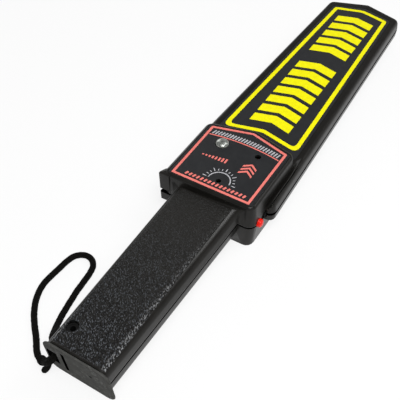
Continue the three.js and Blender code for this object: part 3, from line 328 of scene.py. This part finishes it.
def braided_tube(path, length, radius, rounded=0.0):
    """Tube whose radius follows two crossing families of helical strands.

    The radius is the tube's own, less a relief where neither family is at its crest.
    Over the last part of its length, as long as rounded, it closes like a half ball.
    """
    sides, ups = carried_frame(path)
    turn = np.linspace(0, 2 * np.pi, BRAID_AROUND, endpoint=False)[None, :]
    along = np.linspace(0, length, len(path))[:, None]
    pitch = 2 * np.pi / (BRAID_PITCH_RADII * radius)
    one = np.cos(BRAID_STRANDS / 2 * turn + pitch * along)
    other = np.cos(BRAID_STRANDS / 2 * turn - pitch * along)
    r = radius - BRAID_RELIEF * (1 - np.maximum(one, other) ** 2)
    if rounded:
        past = np.clip((along - length + rounded) / rounded, 0, TAIL_CLOSED_SHARE)
        r = r * np.sqrt(1 - past ** 2)
    level, steep = (r * np.cos(turn))[:, :, None], (r * np.sin(turn))[:, :, None]
    return path[:, None, :] + sides[:, None, :] * level + ups[:, None, :] * steep


# Printing


def inset(corners, width):
    """The outline moved inwards by a width: each corner goes along its mitre."""
    corners = np.array(corners, float)
    following = np.roll(corners, -1, axis=0)
    before = corners - np.roll(corners, 1, axis=0)
    after = following - corners
    before /= np.linalg.norm(before, axis=1)[:, None]
    after /= np.linalg.norm(after, axis=1)[:, None]
    area = np.sum(corners[:, 0] * following[:, 1] - corners[:, 1] * following[:, 0])
    inward = np.sign(area) * np.stack([-before[:, 1], before[:, 0]], axis=1)
    inward_next = np.sign(area) * np.stack([-after[:, 1], after[:, 0]], axis=1)
    mitre = inward + inward_next
    return corners + width * mitre / (1 + np.sum(inward * inward_next, axis=1))[:, None]


def rounded_outline(corners, radii):
    """Each corner becomes a parabola that leaves its two sides a radius away from it."""
    corners = np.array(corners, float)
    radii = np.array(radii, float)[:, None]
    back = np.roll(corners, 1, axis=0) - corners
    ahead = np.roll(corners, -1, axis=0) - corners
    start = corners + radii * back / np.linalg.norm(back, axis=1)[:, None]
    end = corners + radii * ahead / np.linalg.norm(ahead, axis=1)[:, None]
    t = np.linspace(0, 1, CORNER_STEPS)[None, :, None]
    arcs = (1 - t) ** 2 * start[:, None] + 2 * t * (1 - t) * corners[:, None] + t ** 2 * end[:, None]
    return arcs.reshape(-1, 2)


def on_label(outline, height):
    """Plan points in millimetres from the butt, as metres at a height."""
    flat = np.array(outline, float) * MM
    return np.stack([flat[:, 0], flat[:, 1] - BUTT_TO_MIDDLE, np.full(len(flat), height)], axis=1)


def ink_strip(name, one_edge, other_edge, label_top, ink, closed=False):
    """Band of ink between two matched edges, a rectangle in section."""
    low, high = label_top - INK_SEAT, label_top + INK_HEIGHT
    section = np.stack([
        on_label(one_edge, low), on_label(one_edge, high),
        on_label(other_edge, high), on_label(other_edge, low),
    ], axis=1)
    ends = () if closed else (0, -1)
    return surface(name, section, ink, wrap_rows=closed, wrap_columns=True, fans=ends, smooth=False)


def ink_frame(name, corners, radii, width, label_top, ink):
    """Closed band of ink between a rounded outline and the same outline moved in by its width."""
    inner_radii = np.maximum(np.array(radii) - INNER_RADIUS_LOSS * width, LEAST_RADIUS)
    outer = rounded_outline(corners, radii)
    inner = rounded_outline(inset(corners, width), inner_radii)
    return ink_strip(name, outer, inner, label_top, ink, closed=True)


def ink_bars(name, starts, ends, width, label_top, ink):
    """Straight bars of ink, each from its start to its end with half its width to each side.

    A bar is a box of eight corners: four at its foot, then the same four at its top.
    """
    starts, ends = np.array(starts, float), np.array(ends, float)
    way = (ends - starts) / np.linalg.norm(ends - starts, axis=1)[:, None]
    side = np.stack([-way[:, 1], way[:, 0]], axis=1) * width / 2
    corners = np.stack([starts - side, starts + side, ends + side, ends - side], axis=1).reshape(-1, 2)
    low = on_label(corners, label_top - INK_SEAT).reshape(-1, 4, 3)
    high = on_label(corners, label_top + INK_HEIGHT).reshape(-1, 4, 3)
    vertices = np.concatenate([low, high], axis=1).reshape(-1, 3)
    box = np.array([(0, 1, 2, 3), (4, 5, 6, 7), (0, 1, 5, 4), (1, 2, 6, 5), (2, 3, 7, 6), (3, 0, 4, 7)])
    faces = (np.arange(len(starts))[:, None, None] * 8 + box[None]).reshape(-1, 4)
    return mesh_piece(name, vertices, faces.tolist(), ink, smooth=False)


# Materials

MULTIPLY = {"operation": "MULTIPLY"}


def srgb(code):
    """A hex colour code as linear light."""
    channels = np.array([int(code[k:k + 2], 16) / 255 for k in (0, 2, 4)])
    linear = np.where(channels <= 0.04045, channels / 12.92, ((channels + 0.055) / 1.055) ** 2.4)
    return (*linear.tolist(), 1.0)


def new_material(name, colour, roughness, settings=None):
    """A material whose shader has the given colour, roughness and other socket values."""
    material = bpy.data.materials.new(name)
    material.use_nodes = True
    sockets = material.node_tree.nodes["Principled BSDF"].inputs
    values = {"Base Color": srgb(colour), "Roughness": roughness, **(settings or {})}
    for socket, value in values.items():
        sockets[socket].default_value = value
    material.diffuse_color = srgb(colour)
    return material


def add(material, kind, settings=None, links=None, give=0):
    """Adds one node, sets its values by socket or property name, links its inputs, gives an output."""
    node = material.node_tree.nodes.new(kind)
    for key, value in (settings or {}).items():
        if isinstance(key, str) and hasattr(node, key):
            setattr(node, key, value)
        else:
            node.inputs[key].default_value = value
    for key, output in (links or {}).items():
        material.node_tree.links.new(output, node.inputs[key])
    return node.outputs[give]


def feed(material, outputs):
    """Links outputs to the shader's sockets of the given names."""
    sockets = material.node_tree.nodes["Principled BSDF"].inputs
    for socket, output in outputs.items():
        material.node_tree.links.new(output, sockets[socket])


def patches(material, place, size, detail=3.0):
    """Soft patches of the given size: noise spread to the whole of 0 to 1."""
    settings = {"Scale": 1 / size, "Detail": detail, "Roughness": 0.6}
    noise = add(material, "ShaderNodeTexNoise", settings, {"Vector": place}, "Fac")
    return add(material, "ShaderNodeMapRange", {"From Min": 0.35, "From Max": 0.65}, {"Value": noise})


def grit(material, place, size, strength, depth, detail=2.0):
    """Normals of a face roughened by grains of the given size."""
    grains = add(
        material, "ShaderNodeTexNoise", {"Scale": 1 / size, "Detail": detail}, {"Vector": place}, "Fac",
    )
    return add(material, "ShaderNodeBump", {"Strength": strength, "Distance": depth}, {"Height": grains})


def ramps(material, *edges):
    """Product of ramps: each edge is a value, where its ramp is 0 and where it is 1."""
    result = None
    for value, start, end in edges:
        ramp = add(material, "ShaderNodeMapRange", {"From Min": start, "From Max": end}, {"Value": value})
        result = add(material, "ShaderNodeMath", MULTIPLY, {0: result, 1: ramp}) if result else ramp
    return result


def coats(material, base, *layers):
    """Colour of a base code with coats over it: each layer is how far it covers, and its code."""
    colour = None
    for cover, code in layers:
        settings, links = {"data_type": "RGBA", 7: srgb(code)}, {0: cover}
        if colour:
            links[6] = colour
        else:
            settings[6] = srgb(base)
        colour = add(material, "ShaderNodeMix", settings, links, 2)
    return colour


def housing_abs():
    """Injection-moulded black ABS with a satin, spark-eroded face that softens what it mirrors.

    The grip's top has leather grain: pebbles 1.3 mm wide, with painted shade in their folds, and
    short strokes of painted glint aslant over them that fade toward the head. Painted glints also
    light its right edge, and its left near the butt. The spark-eroded texture is drawn at 0.25 mm,
    coarser than it is, so that it shows.
    """
    smooth_roughness, grain_dulling = 0.28, 0.3
    material = new_material("housing_abs_satin", "1b1a18", smooth_roughness, {"Specular IOR Level": 0.17})
    place = add(material, "ShaderNodeTexCoord", give="Object")
    x, y, z = add(material, "ShaderNodeSeparateXYZ", links={"Vector": place}).node.outputs
    across = add(material, "ShaderNodeMath", {"operation": "ABSOLUTE"}, {0: x})

    # Where the grain is, and where its painted glints and painted shade show most, which is toward the butt
    back, front, side = GRIP_START - BUTT_TO_MIDDLE, GRIP_END - BUTT_TO_MIDDLE, 19.4 * MM
    head_edge = (front - 0.2 * MM, front - 1.2 * MM)
    low_edge = (SEAM_HEIGHT + 4 * MM, SEAM_HEIGHT + 5 * MM)
    side_edge = (side, side - 0.5 * MM)
    butt_edge = (back, back + 1 * MM)
    mask = ramps(material, (y, *head_edge), (z, *low_edge), (across, *side_edge), (y, *butt_edge))
    near_butt = ramps(material, (y, back + 110 * MM, back + 15 * MM))
    fading = add(material, "ShaderNodeMath", {"operation": "MULTIPLY_ADD", 1: 0.85, 2: 0.15}, {0: near_butt})
    glint_and_shade_share = add(material, "ShaderNodeMath", MULTIPLY, {0: mask, 1: fading})

    # Pebbles of the grain, with the fine texture of the tool over all of the housing
    pebble, warp_size, warp_share = 1.3 * MM, 2.5 * MM, 0.0009
    warp = add(
        material, "ShaderNodeTexNoise", {"Scale": 1 / warp_size, "Detail": 2.0}, {"Vector": place}, "Color",
    )
    bent = add(
        material, "ShaderNodeMix", {"data_type": "VECTOR", "Factor": warp_share}, {4: place, 5: warp}, 1,
    )
    pebbles = add(
        material, "ShaderNodeTexVoronoi",
        {"feature": "SMOOTH_F1", "Scale": 1 / pebble, "Smoothness": 0.35, "Randomness": 1.0},
        {"Vector": bent}, "Distance",
    )
    grain = add(material, "ShaderNodeMath", MULTIPLY, {0: pebbles, 1: mask})
    eroded = {"Scale": 1 / (0.25 * MM), "Detail": 2.0}
    fine = add(material, "ShaderNodeTexNoise", eroded, {"Vector": place}, "Fac")
    faint = add(material, "ShaderNodeMath", {"operation": "MULTIPLY", 1: 0.03}, {0: fine})
    height = add(material, "ShaderNodeMath", {"operation": "SUBTRACT"}, {0: faint, 1: grain})
    depth = {"Strength": 1.0, "Distance": 0.7 * MM}

    # Strokes of painted glint aslant over the grain, and painted glints along its edges
    aslant = add(
        material, "ShaderNodeMapping",
        {"vector_type": "TEXTURE", "Rotation": (0, 0, 0.6), "Scale": (1, 2.2, 1)}, {"Vector": bent},
    )
    # Painted glints: light strokes, coloured 5a5e63, that stand in for highlights on the pebbles
    strokes = ramps(material, (patches(material, aslant, 0.6 * MM, 1.0), 0.7, 1.1))
    stroke_glints = add(material, "ShaderNodeMath", MULTIPLY, {0: strokes, 1: glint_and_shade_share})
    right = ramps(material, (x, side - 3.6 * MM, side - 1.6 * MM))
    left = ramps(material, (x, 2.6 * MM - side, 1.4 * MM - side), (y, back + 28 * MM, back + 8 * MM))
    edges = add(material, "ShaderNodeMath", {"operation": "MAXIMUM"}, {0: right, 1: left})
    # Painted glints, coloured 8c8d8e, along the grip's right edge and along its left edge near the butt
    glints = ramps(material, (patches(material, aslant, 0.8 * MM, 1.0), 0.6, 0.95))
    edge_glint_spots = add(material, "ShaderNodeMath", MULTIPLY, {0: glints, 1: edges})
    edge_glints = add(material, "ShaderNodeMath", MULTIPLY, {0: edge_glint_spots, 1: glint_and_shade_share})

    near_head = ramps(material, (y, back + 20 * MM, front))
    lighter = add(material, "ShaderNodeMath", MULTIPLY, {0: mask, 1: near_head})
    # Painted shade: the creases between the pebbles are darkened
    creases = ramps(material, (pebbles, 0.3, 0.65))
    fold_shade = add(material, "ShaderNodeMath", MULTIPLY, {0: creases, 1: glint_and_shade_share})
    tone = patches(material, place, 14 * MM)
    feed(material, {
        # Painted shade in the folds (070707), and painted glints on the strokes (5a5e63) and along the edges
        # (8c8d8e)
        "Base Color": coats(
            material, "181715", (tone, "1d1c1a"), (lighter, "232220"), (fold_shade, "070707"),
            (stroke_glints, "5a5e63"), (edge_glints, "8c8d8e"),
        ),
        "Roughness": add(
            material, "ShaderNodeMath",
            {"operation": "MULTIPLY_ADD", 1: grain_dulling, 2: smooth_roughness}, {0: mask},
        ),
        "Normal": add(material, "ShaderNodeBump", depth, {"Height": height}),
    })
    return material


def cap_abs():
    """Black ABS, moulded smooth, its grey a painted reflection of the pale floor; a round dent where the
    mould fed it, darkened with painted shade.

    Painted shade darkens its lower edge.
    """
    # The grey base colour is painted reflection: it stands in for the pale floor that the black cap mirrors
    material = new_material("cap_abs_smooth", "464644", 0.7, {"Specular IOR Level": 0.03})
    place = add(material, "ShaderNodeTexCoord", give="Object")
    z = add(material, "ShaderNodeSeparateXYZ", links={"Vector": place}, give="Z")
    dent = {"operation": "DISTANCE", 1: tuple(wand_points([CAP_DENT])[0].tolist())}
    reach = add(material, "ShaderNodeVectorMath", dent, {0: place}, "Value")
    tone = patches(material, place, 5 * MM)
    wide, small = patches(material, place, 9 * MM), patches(material, place, 2 * MM)
    smudge = add(material, "ShaderNodeMath", MULTIPLY, {0: wide, 1: small})
    fine = add(
        material, "ShaderNodeTexNoise", {"Scale": 1 / (0.8 * MM), "Detail": 2.0}, {"Vector": place}, "Fac",
    )
    hollow = ramps(material, (reach, DENT_FLOOR, DENT_RIM))
    height = add(
        material, "ShaderNodeMath", {"operation": "MULTIPLY_ADD", 1: 0.08}, {0: fine, 2: hollow},
    )
    feed(material, {
        # Grey coats of painted reflection, with smudges, painted shade along the lower edge and painted
        # shade in the dent
        "Base Color": coats(
            material, "434341", (tone, "4c4c4a"), (ramps(material, (smudge, 0.35, 0.8)), "5e5e5c"),
            # Painted shade along the lower edge, which faces down
            (ramps(material, (z, 3.4 * MM, 2.0 * MM)), "0a0a0a"),
            # Painted shade in the dent's hollow
            (ramps(material, (reach, DENT_RIM, DENT_FLOOR)), "121212"),
        ),
        "Normal": add(
            material, "ShaderNodeBump", {"Strength": 0.5, "Distance": 0.25 * MM}, {"Height": height},
        ),
    })
    return material


def plain_plastic(name, colour, roughness, fleck=None, specular=0.5):
    """Moulded plastic with a slight drift of tone and the fine texture of a spark-eroded tool.

    The texture is drawn at 0.3 mm, coarser than it is, so that it shows.
    """
    material = new_material(name, colour, roughness, {"Specular IOR Level": specular})
    place = add(material, "ShaderNodeTexCoord", give="Object")
    if fleck:
        tone = patches(material, place, 6 * MM)
        feed(material, {"Base Color": coats(material, colour, (tone, fleck))})
    feed(material, {"Normal": grit(material, place, 0.3 * MM, 0.15, 0.06 * MM)})
    return material


def brushed_metal(name, colour, roughness):
    """Drawn or turned metal: level streaks 0.8 mm long, one over another every 0.07 mm."""
    streak, streaks_high = 0.8 * MM, 12
    material = new_material(name, colour, roughness, {"Metallic": 1.0})
    place = add(material, "ShaderNodeTexCoord", give="Object")
    streaked = add(material, "ShaderNodeMapping", {"Scale": (1, 1, streaks_high)}, {"Vector": place})
    feed(material, {"Normal": grit(material, streaked, streak, 0.2, 0.05 * MM, 3.0)})
    return material


def printed_ink(name, colour, thin):
    """Screen-printed ink, a little thinner in places, with the screen's faint weave in its face.

    The weave is drawn at 0.6 mm, coarser than a real screen's, so that it shows.
    """
    material = new_material(name, colour, 0.42, {"Specular IOR Level": 0.2})
    place = add(material, "ShaderNodeTexCoord", give="Object")
    feed(material, {
        "Base Color": coats(material, colour, (patches(material, place, 3 * MM), thin)),
        "Normal": grit(material, place, 0.6 * MM, 0.1, 0.03 * MM),
    })
    return material


def label_film():
    """Polycarbonate label film, dark blue-grey ink under a satin face."""
    material = new_material("label_film_polycarbonate", "1e1f21", 0.38, {"Specular IOR Level": 0.35})
    place = add(material, "ShaderNodeTexCoord", give="Object")
    feed(material, {
        "Base Color": coats(material, "1d1e20", (patches(material, place, 5 * MM), "222325")),
        "Normal": grit(material, place, 0.35 * MM, 0.12, 0.05 * MM),
    })
    return material


def braided_cord():
    """Braided polyester cord, matt black, with a soft sheen from its loose fibres.

    The fibres are drawn at 0.35 mm, coarser than they are, so that they show.
    """
    material = new_material("lanyard_braided_polyester", "050504", 0.85, {
        "Specular IOR Level": 0.08, "Sheen Weight": 0.01, "Sheen Roughness": 0.5,
    })
    place = add(material, "ShaderNodeTexCoord", give="Object")
    feed(material, {
        "Base Color": coats(material, "030302", (patches(material, place, 0.9 * MM), "100f0c")),
        "Normal": grit(material, place, 0.35 * MM, 0.6, 0.12 * MM, 3.0),
    })
    return material


def silvered_epoxy():
    """Cast clear epoxy over a bright reflector, which makes the lamp look like dull silver."""
    material = new_material("lamp_clear_epoxy", "9a9d98", 0.26, {"Metallic": 0.8})
    place = add(material, "ShaderNodeTexCoord", give="Object")
    facet = {"Scale": 1 / (2.2 * MM), "Randomness": 0.9}
    facets = add(material, "ShaderNodeTexVoronoi", facet, {"Vector": place}, "Distance")
    feed(material, {
        "Base Color": coats(material, "787c77", (patches(material, place, 1.6 * MM), "b4b7b2")),
        "Normal": add(
            material, "ShaderNodeBump", {"Strength": 0.25, "Distance": 0.3 * MM}, {"Height": facets},
        ),
    })
    return material


# Studio


def photo_camera():
    """The photograph's camera: its place, its direction, and its roll about that."""
    forward = Vector(CAMERA_FORWARD).normalized()
    level = forward.cross(Vector((0, 0, 1))).normalized()
    upright = level.cross(forward)
    roll = np.radians(CAMERA_ROLL_DEG)
    right = level * np.cos(roll) + upright * np.sin(roll)
    up = upright * np.cos(roll) - level * np.sin(roll)
    data = bpy.data.cameras.new("camera")
    data.sensor_width = SENSOR_WIDTH
    data.lens = SENSOR_WIDTH * FOCAL_PIXELS / PHOTO_SIDE
    data.clip_start = CAMERA_NEAR
    camera = link("camera", data)
    turned = Matrix((right, up, -forward)).transposed().to_4x4()
    camera.matrix_world = Matrix.Translation(CAMERA_PLACE) @ turned
    bpy.context.scene.camera = camera


def softbox(name, way, distance, size, watts):
    """A rectangular lamp at a distance from the wand's middle, turned to face it."""
    data = bpy.data.lights.new(name, "AREA")
    data.shape = "RECTANGLE"
    data.size, data.size_y = size
    data.energy = watts
    lamp = link(name, data)
    place = Vector(way).normalized() * distance
    lamp.rotation_euler = (-place).to_track_quat("-Z", "Y").to_euler()
    lamp.location = place


def white_floor():
    """Matt white paint that the camera, mirrors and glass see as plain white with a weak shadow."""
    material = bpy.data.materials.new("floor_white_paint")
    material.use_nodes = True
    nodes = material.node_tree.nodes
    paint = nodes["Principled BSDF"]
    paint.inputs["Base Color"].default_value = FLOOR_WHITE
    paint.inputs["Roughness"].default_value = 0.9
    rays = add(material, "ShaderNodeLightPath").node.outputs
    seen = add(
        material, "ShaderNodeMath", {"operation": "ADD"},
        {0: rays["Is Camera Ray"], 1: rays["Is Glossy Ray"]},
    )
    seen = add(material, "ShaderNodeMath", {"operation": "ADD"}, {0: seen, 1: rays["Is Transmission Ray"]})
    share = add(material, "ShaderNodeMath", {"operation": "MULTIPLY", 1: FLOOR_GLOW_SHARE}, {0: seen})
    glow = add(material, "ShaderNodeEmission", {"Strength": 1.0})
    mixed = add(material, "ShaderNodeMixShader", {}, {0: share, 1: paint.outputs["BSDF"], 2: glow})
    material.node_tree.links.new(mixed, nodes["Material Output"].inputs["Surface"])
    return material


def studio():
    """Floor with a rim swept up a quarter circle, three softboxes and a dim even sky.

    A small fourth lamp gives the corners their glint.
    """
    scene = bpy.context.scene
    scene.view_settings.view_transform = "Standard"
    world = bpy.data.worlds.new("studio")
    scene.world = world
    world.use_nodes = True
    backdrop = world.node_tree.nodes["Background"]
    backdrop.inputs["Color"].default_value = (1, 1, 1, 1)
    backdrop.inputs["Strength"].default_value = SKY_STRENGTH
    bend = np.linspace(0, np.pi / 2, RIM_STEPS)
    reach = np.concatenate([
        [FLOOR_HUB, FLOOR_MIDDLE], RIM_START + RIM_RADIUS * np.sin(bend), [RIM_START + RIM_RADIUS],
    ])
    rise = np.concatenate([[0, 0], RIM_RADIUS - RIM_RADIUS * np.cos(bend), [RIM_TOP]])
    turn = np.linspace(0, 2 * np.pi, FLOOR_AROUND, endpoint=False)
    sweep = np.stack([
        reach[:, None] * np.cos(turn), reach[:, None] * np.sin(turn),
        np.repeat(rise[:, None], len(turn), axis=1),
    ], axis=2)
    surface("floor", sweep, white_floor(), wrap_columns=True, fans=(0,))
    for lamp in SOFTBOXES:
        softbox(*lamp)


# Finishes of the wand's pieces

HOUSING = housing_abs()
CAP = cap_abs()
LABEL = label_film()
CORD = braided_cord()
# Painted shade in the parting line, the cap's slot and the lanyard eye: dead black, it mirrors nothing
PAINTED_SHADE = plain_plastic("abs_painted_shade_recess", "020202", 0.9, specular=0.0)
# Glossy red button, and the satin black nylon of the knob, socket and switch body
RED = plain_plastic("button_red_abs", "e61706", 0.3, specular=0.3)
BLACK = plain_plastic("trim_black_nylon", "0b0b0b", 0.55, specular=0.25)
YELLOW_INK = printed_ink("ink_yellow", "f5f000", "ece400")
RED_INK = printed_ink("ink_red", "ee7f76", "e0766d")
PALE_INK = printed_ink("ink_pale_grey", "b9b9bd", "a9a9ad")
LENS = silvered_epoxy()
# The power lamp's red epoxy, its colour darkened with painted shade for the hole it sits in
SHADED_LAMP_LENS = plain_plastic("lamp_red_epoxy_painted_shade", "1c0707", 0.35)
# Pieces inside the housing, and the case screws in their wells underneath
LAMINATE = plain_plastic("board_fr4_green", "1f5a34", 0.35, "2a6a3e")
TIN = brushed_metal("can_tinned_steel", "b5b7ba", 0.32)
SCREW = brushed_metal("screw_zinc_plated", "9a9c9f", 0.35)
MAGNET = brushed_metal("magnet_nickel_plated", "7b7d80", 0.3)
PAPER = plain_plastic("cone_pressed_paper", "3a3733", 0.9, "44403b")
JACKET = plain_plastic("cell_printed_sleeve", "30343c", 0.35, "3a3f48")
BRASS = brushed_metal("contact_brass", "c8a24a", 0.28)
COPPER = brushed_metal("winding_enamelled_copper", "b8693a", 0.3)
FORMER = plain_plastic("former_natural_nylon", "d9d6c8", 0.55, "cfccbe")
BLUE = plain_plastic("trimmer_blue_plastic", "2f5fa8", 0.4)
WHITE = plain_plastic("trimmer_white_plastic", "e8e4da", 0.4)

FINISHES = {
    "paddle_label": LABEL, "control_label": LABEL, "push_switch_body": BLACK, "slide_switch_body": TIN,
    "circuit_board": LAMINATE, "amplifier_chip": BLACK, "reservoir_capacitor": JACKET,
    "small_capacitor_1": JACKET, "small_capacitor_2": JACKET, "tuning_coil_can": TIN,
    "power_lamp": SHADED_LAMP_LENS, "trimmer_body": BLUE, "trimmer_rotor": WHITE, "charger_socket": BLACK,
    "speaker_basket": TIN, "speaker_cone": PAPER, "speaker_magnet": MAGNET, "vibration_motor": TIN,
    "motor_weight": BRASS, "battery": JACKET, "snap_contact_1": BRASS, "snap_contact_2": BRASS,
    "contact_block": BLACK, "coil_former": FORMER, "transmit_coil": COPPER, "receive_coil": COPPER,
    **{node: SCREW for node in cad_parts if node.startswith("screw_")},
}
MOULDED = {
    "upper_housing": (HOUSING, "wand"), "lower_housing": (HOUSING, "wand"), "battery_cap": (CAP, "cap"),
    "push_button": (RED, "button"), "slide_switch_knob": (BLACK, "mode_switch"),
    "indicator_lamp": (LENS, "wand"),
}


def in_seam(x, y, z):
    """The groove along the parting line, with the painted shade round it on the paddle's and wings' sides.
    """
    on_paddle = (y + BUTT_TO_MIDDLE > PADDLE_START) | (np.abs(x) > WINGS_FROM_MIDDLE)
    return np.abs(z - SEAM_HEIGHT) < np.where(on_paddle, PADDLE_SHADE, SEAM_GROOVE)


def in_cap_openings(x, y, z):
    """The walls of the slot and the lanyard eye, behind the cap's leaning face."""
    deep = y + BUTT_TO_MIDDLE - CAP_FACE + CAP_LEAN * (z - CAP_MIDDLE_HEIGHT)
    left, right = CAP_OPENING_SIDES
    low, high = CAP_OPENING_HEIGHTS
    return (deep > CAP_RECESS_DEPTH) & (x > left) & (x < right) & (z < high) & (z > low)


SHADE_LEVELS = (SEAM_HEIGHT - PADDLE_SHADE, SEAM_HEIGHT + PADDLE_SHADE)
# Tests for the recessed faces that get the painted shade
RECESSES = {"upper_housing": in_seam, "lower_housing": in_seam, "battery_cap": in_cap_openings}


def blacken(skin, chosen):
    """Painted shade on recessed faces, dead black: chosen tells them by the middles of all the faces."""
    mesh = skin.data
    mesh.materials.append(PAINTED_SHADE)
    middles = np.empty(3 * len(mesh.polygons))
    mesh.polygons.foreach_get("center", middles)
    mesh.polygons.foreach_set("material_index", chosen(*middles.reshape(-1, 3).T).astype(np.int32))


def dress_nodes():
    """Gives each CAD node its finish, and each moulded one a smooth skin that replaces it."""
    for node, material in FINISHES.items():
        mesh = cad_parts[node].data
        mesh.materials.clear()
        mesh.materials.append(material)
    for node, (material, body) in MOULDED.items():
        levels = SHADE_LEVELS if RECESSES.get(node) == in_seam else ()
        skin = moulded_copy(node, node + "_skin", material, levels)
        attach(skin, body)
        if node in RECESSES:
            blacken(skin, RECESSES[node])


def paddle_printing():
    """Yellow frame, and two groups of chevron bars that point the way the wand sweeps."""
    pieces = [ink_frame(
        "paddle_frame_print", PADDLE_FRAME, PADDLE_FRAME_RADII, PADDLE_FRAME_WIDTH, PADDLE_LABEL_TOP,
        YELLOW_INK,
    )]
    x = np.array([-CHEVRON_HALF, 0, CHEVRON_HALF], float)
    rise = CHEVRON_RISE * (1 - np.abs(x) / CHEVRON_HALF)
    for number, start in enumerate(CHEVRON_STARTS, 1):
        low = np.stack([x, start + rise], axis=1)
        high = low + (0, CHEVRON_THICKNESS)
        pieces.append(ink_strip(f"chevron_print_{number}", low, high, PADDLE_LABEL_TOP, YELLOW_INK))
    return pieces


def arch(x, foot):
    """Points over x on a parabola that stands on its foot and is highest in the middle."""
    return np.stack([x, foot + ARCH_RISE * (1 - (x / ARCH_HALF) ** 2)], axis=1)


def row(span, count, foot):
    """Points evenly across a span at one distance from the butt."""
    return np.stack([np.linspace(*span, count), np.full(count, foot)], axis=1)


def half_circle(count):
    """Unit directions evenly round the half circle from the right to the left."""
    turn = np.radians(np.linspace(0, 180, count))
    return np.stack([np.cos(turn), np.sin(turn)], axis=1)


def control_printing():
    """Salmon frame, a hatched arch, a dial scale round the adjuster's hole, and rows of level marks."""
    top = CONTROL_LABEL_TOP
    pieces = [ink_frame(
        "control_frame_print", CONTROL_FRAME, CONTROL_FRAME_RADII, CONTROL_FRAME_WIDTH, top, RED_INK,
    )]
    feet = arch(np.linspace(*HATCH_SPAN, HATCH_COUNT), HATCH_FOOT)
    pieces.append(ink_bars("arch_hatch_print", feet, feet + HATCH_SLANT, HATCH_WIDTH, top, PALE_INK))
    line = arch(np.linspace(-ARCH_HALF, ARCH_HALF, ARCH_LINE_STEPS), ARCH_LINE_FOOT)
    pieces.append(ink_strip("arch_line_print", line, line + (0, ARCH_LINE_THICKNESS), top, RED_INK))
    hole = np.array(TRIMMER_HOLE)
    ray = half_circle(TICK_COUNT)
    is_long = np.arange(TICK_COUNT) % LONG_TICK_EVERY == 0
    reach = np.where(is_long, LONG_TICK_END, TICK_END)[:, None]
    pieces.append(ink_bars(
        "dial_ticks_print", hole + TICK_START * ray, hole + reach * ray, TICK_WIDTH, top, PALE_INK,
    ))
    inner, outer = (hole + radius * half_circle(DIAL_ARC_STEPS) for radius in DIAL_ARC)
    pieces.append(ink_strip("dial_arc_print", inner, outer, top, PALE_INK))
    feet = row(LEVEL_SPAN, LEVEL_COUNT, LEVEL_FOOT)
    rise = np.stack([np.zeros(LEVEL_COUNT), np.linspace(*LEVEL_HEIGHTS, LEVEL_COUNT)], axis=1)
    pieces.append(ink_bars("level_marks_print", feet, feet + rise, LEVEL_WIDTH, top, RED_INK))
    mark = np.array(SWEEP_MARK, float)
    for number, step in enumerate(SWEEP_MARK_STEPS, 1):
        low, high = mark + (0, step), mark + (0, step + SWEEP_MARK_THICKNESS)
        pieces.append(ink_strip(f"sweep_mark_print_{number}", low, high, top, RED_INK))
    feet = row(FOOT_MARK_SPAN, FOOT_MARK_COUNT, FOOT_MARK_START)
    ends = feet + FOOT_MARK_SLANT
    pieces.append(ink_bars("foot_marks_print", feet, ends, FOOT_MARK_WIDTH, top, RED_INK))
    return pieces


def wrap_path(heart, way):
    """Helix of cord round the neck: a circle in the plane across it, carried along it."""
    way = way / np.linalg.norm(way)
    one = np.cross(way, (0, 0, 1.0))
    one /= np.linalg.norm(one)
    other = np.cross(way, one)
    t = np.linspace(0, 1, WRAP_RINGS)[:, None]
    angle = 2 * np.pi * WRAP_TURNS * t
    circle = WRAP_RADIUS * (one * np.cos(angle) + other * np.sin(angle))
    path = heart + way * (t - 0.5) * WRAP_SPREAD + circle
    return path, np.linalg.norm(np.diff(path, axis=0), axis=1).sum()


def lanyard():
    """The wrist cord: its loop is the free cord, and its neck, second strand, tail and wraps the knot."""
    radius = CORD_DIAMETER / 2
    closed = {"wrap_columns": True, "fans": (0, -1)}
    loop, loop_length = smooth_path(wand_points(LOOP_ROUTE), LOOP_RINGS)
    cord = surface("lanyard_braid", braided_tube(loop, loop_length, radius), CORD, **closed)
    neck_points = wand_points(NECK_ROUTE)
    neck, neck_length = smooth_path(neck_points, NECK_RINGS)
    neck_tube = surface("lanyard_neck", braided_tube(neck, neck_length, radius), CORD, **closed)
    tail, tail_length = smooth_path(wand_points(TAIL_ROUTE), TAIL_RINGS)
    tail_shape = braided_tube(tail, tail_length, TAIL_RADIUS, rounded=TAIL_RADIUS)
    tail_tube = surface("lanyard_tail", tail_shape, CORD, **closed)
    second, second_length = smooth_path(wand_points(SECOND_STRAND_ROUTE), SECOND_STRAND_RINGS)
    second_shape = braided_tube(second, second_length, radius)
    second_tube = surface("lanyard_second_strand", second_shape, CORD, **closed)
    wrap, wrap_length = wrap_path(neck_points[-2], neck_points[-1] - neck_points[-3])
    wrap_tube = surface("lanyard_wraps", braided_tube(wrap, wrap_length, WRAP_STRAND), CORD, **closed)
    knot = [neck_tube, second_tube, tail_tube, wrap_tube]
    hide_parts("lanyard_cord")
    for piece in knot:
        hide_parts("lanyard_knot")
    for piece in [cord, *knot]:
        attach(piece, "cap")


photo_camera()
lanyard()
dress_nodes()
for printing in paddle_printing() + control_printing():
    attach(printing, "wand")
studio()
